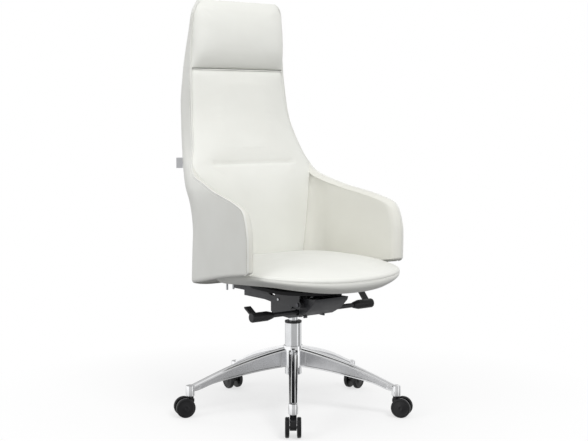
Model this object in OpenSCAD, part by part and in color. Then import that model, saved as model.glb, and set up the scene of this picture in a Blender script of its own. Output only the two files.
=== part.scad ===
// High-back swivel chair: a star base on five twin-wheel casters, a gas column, a synchronous
// tilt mechanism, a separate seat, and one upholstered shell that forms the back and both arms.
// The origin is on the floor on the column's axis. +Z is up and the sitter faces -Y.

/* [Base] */
// Distance from the column's axis to each caster's stem
stem_circle_r = 320; // [300:1:340]
// Turn of the star about the column, with a leg straight ahead at 0
base_turn = -37.6; // [-72:0.1:72]
// Radius of the base's hub
hub_r = 30; // [28:0.5:33]
// Height of the hub's lower face
hub_low_z = 129; // [124:1:132]
// Height of the hub's upper face
hub_top_z = 195; // [188:1:200]
// Width of a leg beside the hub
leg_hub_w = 29; // [26:1:32]
// Width of a leg beside its caster
leg_end_w = 22; // [18:1:25]
// Radius of the round boss at the end of a leg
boss_r = 13.5; // [12:0.5:15]

/* [Casters] */
// Radius of a caster wheel
wheel_r = 29; // [28:0.5:29.5]
// Distance from the caster's swivel axis to its axle
caster_trail = 17.5; // [15:0.5:20]
// Half of the width over both wheels of a caster
caster_half_w = 22.6; // [21:0.1:25]
// Half of the gap between a caster's two wheels
wheel_gap_half = 10.2; // [10:0.1:11]
// Radius of a caster's axle
axle_r = 4; // [3:0.5:4.5]
// Radius of a caster's stem
stem_r = 5.5; // [5:0.25:5.5]

/* [Column] */
// Outer radius of the column's outer tube
tube_r = 25; // [24:0.5:26]
// Height of the outer tube's upper end
tube_top_z = 264; // [255:1:266]
// Height of the outer tube's lower end
tube_low_z = 107; // [104:1:110]
// Radius of the gas cylinder
cylinder_r = 14; // [13.5:0.5:14]
// Radius of the piston rod
rod_r = 5; // [4:0.5:5]
// Radial clearance of the running fits
fit = 0.06; // [0.03:0.01:0.1]

/* [Mechanism] */
// Half of the housing's width
housing_half_w = 62; // [60:1:62]
// Thickness of the housing's walls
housing_wall = 4; // [3:0.5:4.5]
// Radius of the two cross pins
pin_r = 6; // [5:0.5:6.5]
// Half of the length over both lever paddles
lever_reach = 228; // [222:1:236]

/* [Seat] */
// Half of the seat's width at its widest
seat_half_w = 257; // [245:1:258]
// Distance from the column's axis to the seat's front edge
seat_front = 318; // [300:1:325]
// Distance from the column's axis to the seat's rear edge
seat_rear = 172; // [160:1:173]
// Height of the lowest line under the seat cushion
seat_low_z = 388; // [388:0.5:392]
// Height of the seat cushion's crown
seat_top_z = 474; // [465:1:480]

/* [Shell] */
// Thickness of the shell's outer upholstery
skin_t = 7; // [5:0.5:7]
// Thickness of the shell's structural core
core_t = 7.5; // [6:0.5:8]
// Thickness of an arm, all layers together
arm_t = 25; // [25:0.5:27]
// How far each arm spreads outwards from the back to its front edge
arm_flare = 32; // [26:1:33]

/* [Hidden] */
$fn = 48;

seam_gap = 1.2;         // clearance between the back cushion and the arm pads
core_out = skin_t + 1.5;    // from the shell's outline to the core's outer face
core_in = core_out + core_t;
lining_in = core_in + 2;    // from the shell's outline to the backs of the cushions
leg_count = 5;
leg_step = 360 / leg_count;

// Base and casters
boss_low_z = 62;
boss_top_z = 93;
socket_r = 7.5;
socket_top_z = 87;
flange_r = 9;
flange_low_z = 59.6;
caster_top_z = 59.2;
stem_low_z = 38;
collar_r = 9.8;         // radius of the caster body's collar round the stem
web_w = 18.8;           // width of the caster body between the wheels
caster_web = [[-10, 54], [-10, 46], [1, 26], [13, 21], [24, 21], [33, 26], [36, 34], [28, 47],
              [10, 54]];   // its side view, from the stem's axis and the floor
leg_top = [[0, hub_top_z - 4], [hub_r, 189], [100, 173], [190, 146], [260, 118],
           [stem_circle_r, 92]];
leg_low = [[stem_circle_r, 74], [295, 79], [250, 95], [190, 108], [110, 122],
           [hub_r, hub_low_z + 2], [0, hub_low_z + 2]];
ridge_w = 10;           // width of the polished ridge along a leg's top
leg_shoulder = 6;       // height from a leg's shoulder to its ridge

// Column
tube_wall = 2;
tube_floor = 6;
bearing_h = 7;
bearing_r = 12;
cylinder_low_z = tube_low_z + tube_floor + bearing_h + 6;
cylinder_top_z = 336;
cylinder_bore_r = cylinder_r - 2;
gland_h = 15;
bore_top_z = 300;
stroke = 80;
piston_z = cylinder_low_z + gland_h + stroke + 3;
bush_low_z = 180;
valve_r = 3;
valve_top_z = 340.5;
valve_bore_z = 315;

// Mechanism: positions as [y, z] in the side view
main_pivot = [-78, 337];
seat_pivot = [-125, 340];
link_pin = [-31, 345];
lever_axis = [-99, 314];
lever_hinge_x = 40;
lever_r = 7;
lever_pin_r = 3;
grip_r = 14;            // radius of the handle on a lever's end
grip_length = 76;
grip_taper = 20;        // length over which its inner end narrows to the rod
rod_end = 48;           // from the handle's outer end to the end of the rod inside it
fin_out = 6;            // from the handle's outer end to its fin
fin_w = 21;
fin_t = 6;
fin_reach = 46;         // from the rod's axis to the middle of the fin's rounded tip
height_fin_turn = 31;   // angles at which the two fins rise to the rear
lock_fin_turn = 47;
finger_x = -31;         // outer side of the finger that reaches the valve button
finger_w = 8;
finger_gap = 0.4;       // between the finger and the valve button at rest
spring_turns = 5;
spring_r = 11.5;        // from the pin's axis to the middle of the spring's wire
spring_pitch = 4.6;
wire_r = 2.9;
housing_low_z = 291;
fork_in_x = 64.5;
fork_out_x = 75;
flange_in_x = 77;
flange_out_x = 80;
fork_rear_y = 248;        // front face of the plate that the shell is bolted to
fork_tongue_x = 38;       // half of the width of the strip from the fork's floor to its plate
fork_low_z = 336;         // underside of the deep part of the arms
fork_step_z = 352;        // underside of the arms behind it
fork_step_y = 150;
fork_arm_rear_y = 205;
fork_floor_y = 66;        // front edge of the floor between the arms
fork_floor_t = 5;
link_r = 4;
bolt_r = 4;
shell_plate_z = 384;      // lower edge of that plate
shell_plate_t = 5;
shell_plate_w = 160;
shell_plate_h = 40;
shell_bolt_x = 60;        // from the middle plane to each pair of shell bolts
stud_places = [46, 70];   // from the middle plane to the studs under the shell
stud_r = 3.5;
stud_h = 44;
shell_bolt_reach = 14;    // from the front of that plate into the shell's core

// Seat
plate_z = 374;
plate_t = 3;
plate_front_y = -160;
plate_length = 270;
seat_bolt_r = 3.2;
seat_bolt_x = 50;
seat_bolt_inset = [12, 14];  // from the plate's front and rear edges
pan_z = plate_z + plate_t;
pan_t = 10;
pan_inset = 98;         // from the cushion's outline to the pan's
seat_mid_y = -60;       // where the seat's front curve meets its rear curve
seat_rise = 30;         // how far the seat's underside rises to its sides at the front
seat_rise_end = 118;    // y at which its underside is level across
seat_seam_h = 33;       // height of the side band, from the underside to the top seam

// Shell heights
shell_low_z = 358;
slope_end_z = 560;      // height at which the levels of the shell are flat again
low_rise = [[-172, 89], [-22, 66], [120, 38], [200, 22.5], [240, 13],
            [274, 0]];  // [y, rise of its lower edge above the lowest point]

// Shell stations, as [height, value]
shell_rear = [[358, 274], [475, 266], [550, 262], [620, 273], [695, 305], [785, 340], [870, 359],
              [945, 363], [1060, 347], [1155, 322], [1243, 306]];
shell_half = [[358, 255], [600, 255], [660, 252], [695, 243], [730, 230], [785, 208], [870, 190],
              [945, 183], [1060, 177], [1155, 173], [1205, 167], [1243, 148]];
shell_corner = [[358, 150], [620, 140], [695, 115], [785, 70], [870, 50], [945, 40], [1155, 30],
                [1243, 18]];
shell_edge = [[358, -172], [540, -172], [590, -162], [625, -140], [640, -100], [655, -34], [670, 46],
              [690, 120], [705, 170], [722, 195], [757, 217], [795, 232], [870, 262], [950, 276],
              [1030, 284], [1160, 285], [1243, 273]];
cushion_half = [[430, 176], [560, 195], [640, 206], [690, 213], [722, 211], [757, 199], [795, 186],
                [870, 171], [950, 165], [1030, 159]];
cushion_mid = [[430, 175], [560, 166], [650, 168], [737, 196], [870, 245], [950, 262], [1030, 274]];
cushion_side = [[430, 178], [600, 183], [690, 192], [757, 212], [870, 256], [950, 272], [1030, 281]];
headrest_mid = [[1033, 266], [1090, 254], [1150, 253], [1210, 260], [1243, 274]];
headrest_side = [[1033, 280], [1150, 277], [1243, 281]];
shell_levels = [358, 372, 392, 440, 490, 550, 590, 615, 632, 645, 658, 672, 690, 706, 724, 757, 800,
                870, 950, 1030, 1100, 1160, 1205, 1232];
core_levels = levels_between(372, 1160);
pad_levels = levels_between(372, 690);
cushion_levels = levels_between(440, 1030);
headrest_levels = [1033, 1060, 1090, 1120, 1150, 1180, 1210, 1230, 1243];
line_steps = 5;         // segments along an arm and round a corner
headrest_inset = 18;    // from the shell's sides to the headrest's
tag_z = 742;            // height of the side tag's middle
tag_turn = 142.4;       // direction in which it stands out of the shell's corner
tag_size = [20, 1.6, 32];

// Colours
leather = [0.93, 0.92, 0.89];
chrome = [0.85, 0.86, 0.88];
polished = [0.80, 0.81, 0.83];
black = [0.06, 0.06, 0.07];
dark_grey = [0.17, 0.17, 0.19];
steel = [0.62, 0.63, 0.65];
plywood = [0.72, 0.55, 0.36];

// ---- Curves -------------------------------------------------------------------------------

// The shell's levels from one height to another, shared by the layers inside it.
function levels_between(low, high) = [for (z = shell_levels) if (z >= low && z <= high) z];

// Slope of a station table at row i.
function station_slope(t, i) =
    let (a = max(i - 1, 0), b = min(i + 1, len(t) - 1))
    (t[b][1] - t[a][1]) / (t[b][0] - t[a][0]);

// First row of the stretch of a station table that holds position p.
function station_row(t, p, i = 0) =
    (i >= len(t) - 2 || p <= t[i + 1][0]) ? i : station_row(t, p, i + 1);

// Smooth curve through the rows of a station table.
function along(t, p) =
    let (q = min(max(p, t[0][0]), t[len(t) - 1][0]),
         i = station_row(t, q),
         h = t[i + 1][0] - t[i][0],
         u = (q - t[i][0]) / h,
         u2 = u * u,
         u3 = u2 * u)
    t[i][1] * (1 - 3 * u2 + 2 * u3) + t[i + 1][1] * (3 * u2 - 2 * u3)
    + h * (station_slope(t, i) * (u - 2 * u2 + u3) + station_slope(t, i + 1) * (u3 - u2));

// How far the shell is wider at y than at the back's corners.
function flare_at(y) = arm_flare * min(max((120 - y) / 270, 0), 1.1);

// Height of a shell point, raised towards the arm fronts near the lower edge.
function raised(z, y) =
    z + max(0, (slope_end_z - z) / (slope_end_z - shell_low_z)) * along(low_rise, y);

// Half of the shell's outline at height z, inset by o and cut back by f at the arm's front edge.
// It runs from the front edge round the corner to the middle of the back, on the +X side.
function half_outline(z, o, f) =
    let (w = along(shell_half, z), r = along(shell_rear, z), c = along(shell_corner, z),
         side_end = r - c, edge = min(along(shell_edge, z) + f, side_end - 2))
    concat(
        [for (j = [0 : line_steps])
            let (y = edge + (side_end - edge) * j / line_steps)
            [w + flare_at(y) - o, y]],
        [for (j = [1 : line_steps])
            let (a = 90 * j / line_steps)
            [w - c + (c - o) * cos(a), r - c + (c - o) * sin(a)]],
        [[0, r - o]]);

// Rear y of the space inside the shell's core, at x and height z.
function core_inside_y(x, z) =
    let (w = along(shell_half, z), r = along(shell_rear, z), c = along(shell_corner, z),
         d = max(0, abs(x) - (w - c)))
    r - c + sqrt(max(0, (c - lining_in) * (c - lining_in) - d * d));

// The mirror image of a half outline, joined to it as one line from -X to +X.
function whole_line(half) =
    concat([for (i = [0 : len(half) - 1]) [-half[i][0], half[i][1]]],
           [for (i = [len(half) - 2 : -1 : 0]) half[i]]);

// ---- Lofts ---------------------------------------------------------------------------------

// Solid between two lines at each level. A level is [height, line, line], and every line has
// the same number of [x, y] points. The heights rise towards the arm fronts where lift is true.
module wall_loft(levels, lift = false) {
    n = len(levels[0][1]);
    ring = 2 * n;
    points = [for (level = levels, i = [0 : ring - 1])
        let (p = i < n ? level[1][i] : level[2][ring - 1 - i],
             z = lift ? raised(level[0], p[1]) : level[0])
        [p[0], p[1], z]];
    last = (len(levels) - 1) * ring;
    sides = [for (k = [0 : len(levels) - 2], i = [0 : ring - 1])
        let (a = k * ring + i, b = k * ring + (i + 1) % ring)
        each [[a, b, b + ring], [a, b + ring, a + ring]]];
    caps = [for (i = [0 : n - 2])
        let (a = i, b = i + 1, c = ring - 2 - i, d = ring - 1 - i)
        each [[a, c, b], [a, d, c],
              [last + a, last + b, last + c], [last + a, last + c, last + d]]];
    polyhedron(points = points, faces = concat(sides, caps));
}

// Solid through closed rings of points, closed by a fan at each end.
module ring_loft(rings, low_centre, top_centre) {
    n = len(rings[0]);
    last = (len(rings) - 1) * n;
    points = concat([for (r = rings, p = r) p], [low_centre, top_centre]);
    sides = [for (k = [0 : len(rings) - 2], i = [0 : n - 1])
        let (a = k * n + i, b = k * n + (i + 1) % n)
        each [[a, b + n, b], [a, a + n, b + n]]];
    fans = [for (i = [0 : n - 1])
        let (j = (i + 1) % n)
        each [[i, j, len(points) - 2], [last + j, last + i, len(points) - 1]]];
    polyhedron(points = points, faces = concat(sides, fans));
}

// Extrudes a side-view outline of [y, z] points from x = from to x = to.
module across(from, to) {
    translate([from, 0, 0]) rotate([90, 0, 90]) linear_extrude(to - from) children();
}

// Cylinder along X through the side-view point p.
module cross_rod(p, r, from, to) {
    translate([from, p[0], p[1]]) rotate([0, 90, 0]) cylinder(r = r, h = to - from);
}

// Ring with a bore.
module ring(outer, inner, low, h) {
    translate([0, 0, low]) difference() {
        cylinder(r = outer, h = h);
        translate([0, 0, -1]) cylinder(r = inner, h = h + 2);
    }
}

// Places its children at a leg's caster stem, with +X pointing away from the column.
module at_stem(i) {
    rotate([0, 0, base_turn - 90 + i * leg_step]) translate([stem_circle_r, 0, 0]) children();
}

// ---- Base ----------------------------------------------------------------------------------

// Side view of a leg: a shallow arch from the hub down to the boss. inset lowers its top line.
module leg_side(inset) {
    polygon(concat([for (p = leg_top) [p[0], p[1] - inset]], leg_low));
}

// One leg along +X: broad below the shoulder, with the narrow ridge on top.
module leg() {
    intersection() {
        rotate([90, 0, 0]) translate([0, 0, -leg_hub_w]) linear_extrude(2 * leg_hub_w)
            leg_side(leg_shoulder);
        translate([0, 0, boss_low_z]) linear_extrude(hub_top_z)
            polygon([[0, -leg_hub_w / 2], [stem_circle_r, -leg_end_w / 2],
                     [stem_circle_r, leg_end_w / 2], [0, leg_hub_w / 2]]);
    }
    intersection() {
        rotate([90, 0, 0]) translate([0, 0, -ridge_w / 2]) linear_extrude(ridge_w) leg_side(0);
        translate([0, 0, boss_low_z]) cylinder(r = stem_circle_r, h = hub_top_z);
    }
}

module five_star_base() color(polished) difference() {
    union() {
        translate([0, 0, hub_low_z]) cylinder(r = hub_r, h = hub_top_z - hub_low_z);
        for (i = [0 : leg_count - 1]) {
            rotate([0, 0, base_turn - 90 + i * leg_step]) leg();
            at_stem(i) translate([0, 0, boss_low_z]) cylinder(r = boss_r, h = boss_top_z - boss_low_z);
        }
    }
    translate([0, 0, hub_low_z - 1]) cylinder(r = tube_r, h = hub_top_z - hub_low_z + 2);
    for (i = [0 : leg_count - 1])
        at_stem(i) translate([0, 0, boss_low_z - 1])
            cylinder(r = socket_r, h = socket_top_z - boss_low_z + 1);
}

// Sleeves that grip the caster stems inside the bosses
module stem_sockets() color(black) for (i = [0 : leg_count - 1])
    at_stem(i) ring(socket_r, stem_r, boss_low_z + 0.2, socket_top_z - boss_low_z - 0.4);

module caster_stems() color(steel) for (i = [0 : leg_count - 1]) at_stem(i) {
    translate([0, 0, stem_low_z]) cylinder(r = stem_r, h = socket_top_z - stem_low_z - 2);
    translate([0, 0, flange_low_z]) cylinder(r = flange_r, h = boss_low_z - flange_low_z);
}

// ---- Casters -------------------------------------------------------------------------------

// Places its children on a caster's axle, with +Z along the axle.
module at_axle(i) {
    at_stem(i) translate([caster_trail, 0, wheel_r]) rotate([90, 0, 0]) children();
}

// Body between the two wheels: a web round the axle that rises to the stem's collar.
module caster_body(i) color(black) difference() {
    at_stem(i) {
        translate([0, 0, stem_low_z - 4]) cylinder(r = collar_r, h = caster_top_z - stem_low_z + 4);
        translate([0, web_w / 2, 0]) rotate([90, 0, 0]) linear_extrude(web_w)
            polygon(caster_web);
    }
    at_stem(i) translate([0, 0, stem_low_z - 0.5]) cylinder(r = stem_r + fit, h = caster_top_z);
    at_axle(i) translate([0, 0, -15]) cylinder(r = axle_r, h = 30);
}

module caster_axle(i) color(steel) at_axle(i)
    translate([0, 0, -caster_half_w + 3]) cylinder(r = axle_r, h = 2 * caster_half_w - 6);

// Wheel on one side of the caster: a tread, a dished face and a hub. side is 1 or -1.
module wheel(i, side) {
    w = caster_half_w - wheel_gap_half;
    color(black) at_axle(i) scale([1, 1, side]) translate([0, 0, wheel_gap_half])
        rotate_extrude() polygon([[axle_r + fit, 0], [wheel_r - 4, 0], [wheel_r - 1, 1.2],
                                  [wheel_r, 4], [wheel_r, w - 4], [wheel_r - 1, w - 1.2],
                                  [wheel_r - 4, w], [wheel_r - 7, w], [wheel_r - 9, w - 2],
                                  [9, w - 2], [8, w], [3, w], [3, w - 2.2], [axle_r + fit, w - 2.2]]);
}

// ---- Column --------------------------------------------------------------------------------

module column_outer_tube() color(chrome) translate([0, 0, tube_low_z]) difference() {
    cylinder(r = tube_r, h = tube_top_z - tube_low_z);
    translate([0, 0, tube_floor]) cylinder(r = tube_r - tube_wall, h = tube_top_z);
    translate([0, 0, -1]) cylinder(r = rod_r + 1, h = tube_floor + 2);
}

module column_cap_ring() color(black) ring(tube_r + 0.6, cylinder_r + 0.6, tube_top_z + 0.05, 6);

module column_guide_bush() color(black)
    ring(tube_r - tube_wall, cylinder_r + fit, bush_low_z, tube_top_z - bush_low_z);

module thrust_bearing() color(steel)
    ring(bearing_r, rod_r + 1, tube_low_z + tube_floor, bearing_h);

// Piston rod, with the collar that rests on the thrust bearing
module piston_rod() color(steel) {
    translate([0, 0, tube_low_z - 9]) cylinder(r = rod_r, h = piston_z + 12 - tube_low_z + 9);
    translate([0, 0, tube_low_z + tube_floor + bearing_h + 0.1]) cylinder(r = rod_r + 3, h = 4);
}

module piston_head() color(steel) ring(cylinder_bore_r - fit, rod_r, piston_z, 12);

module rod_clip() color(steel) ring(9, rod_r, tube_low_z - 4, 3);

module gas_cylinder() color(chrome) difference() {
    translate([0, 0, cylinder_low_z]) cylinder(r = cylinder_r, h = cylinder_top_z - cylinder_low_z);
    translate([0, 0, cylinder_low_z - 1])
        cylinder(r = cylinder_bore_r, h = bore_top_z - cylinder_low_z + 1);
    translate([0, 0, valve_bore_z]) cylinder(r = valve_r + fit, h = 40);
}

module cylinder_gland() color(black) ring(cylinder_bore_r, rod_r + fit, cylinder_low_z, gland_h);

module valve_button() color(steel) translate([0, 0, valve_bore_z + 5])
    cylinder(r = valve_r, h = valve_top_z - valve_bore_z - 5);

// ---- Mechanism -----------------------------------------------------------------------------

// Side view of the housing: deep round the column, sloping up to the front.
module housing_side(t, top) {
    polygon([[30 - t, 343 + top], [30 - t, 302], [18 - t / 2, housing_low_z + 3 + t],
             [-60, housing_low_z + t], [-110 + t / 2, 302 + t], [-150 + t, 322 + t],
             [-180 + t, 350], [-184 + t, 360 + top], [-125, 358 + top]]);
}

module mechanism_housing() color(dark_grey) difference() {
    union() {
        difference() {
            across(-housing_half_w, housing_half_w) housing_side(0, 0);
            across(-housing_half_w + housing_wall, housing_half_w - housing_wall)
                housing_side(housing_wall, 30);
        }
        translate([0, 0, housing_low_z + 1]) cylinder(r = 19, h = cylinder_top_z - housing_low_z - 1);
        for (y = [-112, -90])
            translate([-lever_hinge_x - 6, y, 296]) cube([12, 4, 24]);
        across(30, 34) translate([lever_axis[0] - 10, 296]) square([20, 28]);
    }
    translate([0, 0, housing_low_z - 1]) cylinder(r = cylinder_r, h = 60);
    cross_rod(main_pivot, pin_r, -90, 90);
    cross_rod(seat_pivot, pin_r, -90, 90);
    cross_rod(lever_axis, lever_r + 3, -90, -lever_hinge_x - 10);
    cross_rod(lever_axis, lever_r + fit, 0, 90);
    translate([-lever_hinge_x, -80, lever_axis[1]]) rotate([90, 0, 0]) cylinder(r = lever_pin_r, h = 40);
}

// Pin that the back fork turns on
module main_pivot_pin() color(steel) cross_rod(main_pivot, pin_r, -fork_out_x - 1.3, fork_out_x + 1.3);

// Pin that the front of the seat plate turns on
module seat_pivot_pin() color(steel) cross_rod(seat_pivot, pin_r, -flange_out_x - 3, flange_out_x + 3);

// Spacer rings that centre the seat plate on its pin
module pivot_spacers() color(black) for (side = [-1, 1]) scale([side, 1, 1])
    translate([housing_half_w + 0.2, seat_pivot[0], seat_pivot[1]]) rotate([0, 90, 0])
        ring(10, pin_r, 0, flange_in_x - housing_half_w - 0.6);

// Close-wound torsion springs round the main pin
module tilt_springs() color(steel) for (side = [-1, 1]) scale([side, 1, 1])
    translate([9, main_pivot[0], main_pivot[1]]) rotate([0, 90, 0]) rotate_extrude() difference() {
        union() {
            for (i = [0 : spring_turns - 1])
                translate([spring_r, wire_r + spring_pitch * i]) circle(r = wire_r, $fn = 24);
            translate([spring_r - 2, wire_r - 2])
                square([3, spring_pitch * (spring_turns - 1) + 4]);
        }
        translate([0, -1]) square([pin_r + 2.2, 40]);
    }

module height_lever_pin() color(steel) translate([-lever_hinge_x, -85, lever_axis[1]])
    rotate([90, 0, 0]) cylinder(r = lever_pin_r, h = 28);

// Rocking lever of the gas valve: a rod out to the paddle, a hinge eye, and a finger that
// runs back past the column's boss, up and over the valve button.
module height_lever() color(dark_grey) difference() {
    union() {
        cross_rod(lever_axis, lever_r, -lever_reach + rod_end, -lever_hinge_x);
        translate([-lever_hinge_x - 8, -107.5, lever_axis[1] - 5])
            cube([finger_x + finger_w + lever_hinge_x + 8, 17, 12]);
        translate([finger_x, -92, lever_axis[1] - 3]) cube([finger_w, 97, 6]);
        translate([finger_x, -5, lever_axis[1] - 3]) cube([finger_w, 10, 36]);
        translate([finger_x, -5, valve_top_z + finger_gap]) cube([1 - finger_x, 10, 5]);
    }
    translate([-lever_hinge_x, -80, lever_axis[1]]) rotate([90, 0, 0])
        cylinder(r = lever_pin_r + fit, h = 40);
}

// Handle on the end of a lever's rod: a turned barrel with a flat fin that rises to the rear.
// side is -1 for the sitter's right and 1 for the left.
module paddle(side, fin_turn) scale([side, 1, 1]) difference() {
    union() {
        translate([lever_reach, lever_axis[0], lever_axis[1]]) rotate([0, -90, 0])
            rotate_extrude() polygon([[0, 0], [grip_r - 3.5, 0], [grip_r - 1, 1.5], [grip_r, 4],
                                      [grip_r, grip_length - grip_taper],
                                      [lever_r + 2, grip_length], [0, grip_length]]);
        across(lever_reach - fin_out - fin_w, lever_reach - fin_out) translate(lever_axis)
            rotate(fin_turn) {
                translate([0, -fin_t / 2]) square([fin_reach, fin_t]);
                translate([fin_reach, 0]) circle(r = fin_t / 2);
            }
    }
    cross_rod(lever_axis, lever_r, lever_reach - grip_length - 1, lever_reach - rod_end);
}

module height_lever_paddle() color(black) paddle(-1, height_fin_turn);

module tilt_lock_shaft() color(dark_grey) cross_rod(lever_axis, lever_r, 24, lever_reach - rod_end);

module tilt_lock_paddle() color(black) paddle(1, lock_fin_turn);

// Eccentric cam that clamps the tilt brake
module tilt_lock_cam() color(steel) difference() {
    translate([0, 0, 2]) cross_rod(lever_axis, 11, 37, 49);
    cross_rod(lever_axis, lever_r, 30, 60);
}

// Side view of a fork arm: an eye round the main pin, and a bar back to the shell.
module fork_side() {
    translate(main_pivot) circle(r = 15);
    polygon([[main_pivot[0], 352], [10, 352], [45, 366], [fork_arm_rear_y, 370],
             [fork_arm_rear_y, fork_step_z], [fork_step_y, fork_step_z], [fork_step_y, fork_low_z],
             [45, fork_low_z], [main_pivot[0] + 8, 324]]);
}

// Back fork: two arms beside the housing, a floor behind it, and a plate for the shell
module back_fork() color(dark_grey) difference() {
    union() {
        for (side = [-1, 1]) scale([side, 1, 1]) across(fork_in_x, fork_out_x) fork_side();
        translate([-fork_out_x + 1, fork_floor_y, fork_step_z])
            cube([2 * fork_out_x - 2, fork_arm_rear_y - fork_floor_y, fork_floor_t]);
        translate([-fork_tongue_x, fork_step_y, fork_step_z])
            cube([2 * fork_tongue_x, fork_rear_y - fork_step_y + 2, fork_floor_t]);
        translate([-fork_tongue_x, fork_rear_y, fork_step_z])
            cube([2 * fork_tongue_x, shell_plate_t, shell_plate_z - fork_step_z + shell_plate_h / 2]);
        translate([-shell_plate_w / 2, fork_rear_y, shell_plate_z])
            cube([shell_plate_w, shell_plate_t, shell_plate_h]);
    }
    cross_rod(main_pivot, pin_r + fit, -90, 90);
    shell_bolt_places() cylinder(r = bolt_r, h = 30, center = true);
}

// The four places where the fork's plate is bolted to the shell, with +Z to the rear
module shell_bolt_places()
    for (x = [-shell_bolt_x, shell_bolt_x], z = [shell_plate_z + 15, shell_plate_z + 32])
        translate([x, fork_rear_y, z]) rotate([-90, 0, 0]) children();

// Bolts that hold the shell on the fork's plate, and the adjusting studs below its lower edge
module fork_bolts() color(steel) {
    shell_bolt_places() {
        translate([0, 0, -5]) cylinder(r = 7, h = 5);
        cylinder(r = bolt_r, h = shell_bolt_reach);
    }
    for (side = [-1, 1], x = stud_places)
        translate([side * x, fork_rear_y + shell_plate_t / 2, shell_plate_z - stud_h])
            cylinder(r = stud_r, h = stud_h);
}

// Stub pins on the fork that slide in the seat plate's slots
module link_pins() color(steel) for (side = [-1, 1]) scale([side, 1, 1])
    cross_rod(link_pin, link_r, fork_out_x, flange_out_x + 2);

// ---- Seat ----------------------------------------------------------------------------------

// Side view of a seat-plate flange: an eye round the front pin, and a bar back past the slot.
module flange_side() difference() {
    union() {
        translate(seat_pivot) circle(r = 13);
        polygon([[seat_pivot[0] - 12, plate_z + 1], [seat_pivot[0], 328], [-90, 334], [-16, 336],
                 [-12, plate_z + 1]]);
    }
    for (dy = [-1.6, 1.6]) translate([link_pin[0] + dy, link_pin[1]]) circle(r = link_r + 0.5);
    translate([link_pin[0] - 1.6, link_pin[1] - link_r - 0.5]) square([3.2, 2 * link_r + 1]);
}

module seat_plate() color(dark_grey) difference() {
    union() {
        translate([-flange_out_x, plate_front_y, plate_z])
            cube([2 * flange_out_x, plate_length, plate_t]);
        for (side = [-1, 1]) scale([side, 1, 1]) across(flange_in_x, flange_out_x) flange_side();
    }
    cross_rod(seat_pivot, pin_r + fit, -90, 90);
    seat_bolt_places() cylinder(r = seat_bolt_r, h = 20, center = true);
}

// The four places where the seat plate is bolted to the pan
module seat_bolt_places()
    for (x = [-seat_bolt_x, seat_bolt_x], y = [plate_front_y + seat_bolt_inset[0],
                                               plate_front_y + plate_length - seat_bolt_inset[1]])
        translate([x, y, plate_z]) children();

module seat_bolts() color(steel) seat_bolt_places() {
    translate([0, 0, -5]) cylinder(r = 6, h = 5);
    cylinder(r = seat_bolt_r, h = plate_t + pan_t - 1);
}

// Half of the seat's width at y. It narrows with the arms towards the back.
function seat_half_at(y) = seat_half_w - 0.1 * max(0, y + 168);

// Point of the seat's plan outline at angle a, inset by o.
function seat_outline(a, o) =
    let (front = sin(a) < 0, n = front ? 2.6 : 5,
         reach = (front ? seat_front + seat_mid_y : seat_rear - seat_mid_y) - o,
         c = cos(a), s = sin(a),
         y = seat_mid_y + sign(s) * reach * pow(abs(s), 2 / n))
    [sign(c) * (seat_half_at(y) - o) * pow(abs(c), 2 / n), y];

// Height of the seat's curved underside and of its top seam and crown.
function seat_side_rise(p) = seat_rise * pow(p[0] / seat_half_w, 2);
function seat_low_at(p) = seat_low_z
    + seat_side_rise(p) * min(1, max(0, (seat_rise_end - p[1]) / (seat_rise_end + 172)));
function seat_seam_at(p) = seat_low_z + seat_side_rise(p) + seat_seam_h
    - 16 * pow(p[0] / seat_half_w, 2) + 0.04 * max(0, p[1] + 100);
function seat_crown_at(p) = seat_top_z - 22 * pow(abs(p[0]) / seat_half_w, 4)
    - 0.06 * max(0, p[1] - 20) - 22 * pow(max(0, -p[1] - 60) / (seat_front - 60), 2);

seat_steps = 40;
module seat_cushion() color(leather) {
    rings = [for (k = [0 : 5]) [for (i = [0 : seat_steps - 1])
        let (inset = [30, 4, 0, 7, 32, 90][k],
             p = seat_outline(360 * i / seat_steps, inset),
             edge = seat_outline(360 * i / seat_steps, 0),
             seam = seat_seam_at(edge), crown = seat_crown_at(p),
             z = [seat_low_at(p), seat_low_at(edge) + 8, seam,
                  seam + 0.5 * (crown - seam), seam + 0.88 * (crown - seam), crown][k])
        [p[0], p[1], z]]];
    ring_loft(rings, [0, seat_mid_y, seat_low_z], [0, seat_mid_y, seat_top_z]);
}

module seat_pan() color(plywood) difference() {
    translate([0, 0, pan_z]) linear_extrude(pan_t)
        polygon([for (i = [0 : 59]) seat_outline(6 * i, pan_inset)]);
    seat_bolt_places() cylinder(r = seat_bolt_r, h = 60, center = true);
}

// ---- Shell ---------------------------------------------------------------------------------

module outer_shell() color(leather) wall_loft([for (z = shell_levels)
    [z, whole_line(half_outline(z, skin_t, 0)), whole_line(half_outline(z, 0, 0))]], lift = true);

module shell_core() color(plywood) wall_loft([for (z = core_levels)
    [z, whole_line(half_outline(z, core_in, 8)), whole_line(half_outline(z, core_out, 8))]],
    lift = true);

// Inner face of an arm: from the seam beside the back cushion, round the corner, to the front.
function pad_inside(z) =
    let (start = [along(cushion_half, z) + seam_gap, along(cushion_side, z)],
         x_in = along(shell_half, z) - arm_t, edge = along(shell_edge, z) + 2,
         turn = max(start[1] - 70, edge + 4))
    concat(
        [for (j = [0 : line_steps])
            let (y = edge + (turn - edge) * j / line_steps)
            [x_in + flare_at(y), y]],
        [for (j = [1 : line_steps])
            let (a = 90 * j / line_steps, x_turn = x_in + flare_at(turn))
            [start[0] + (x_turn - start[0]) * cos(a), turn + (start[1] - turn) * sin(a)]]);

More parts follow.
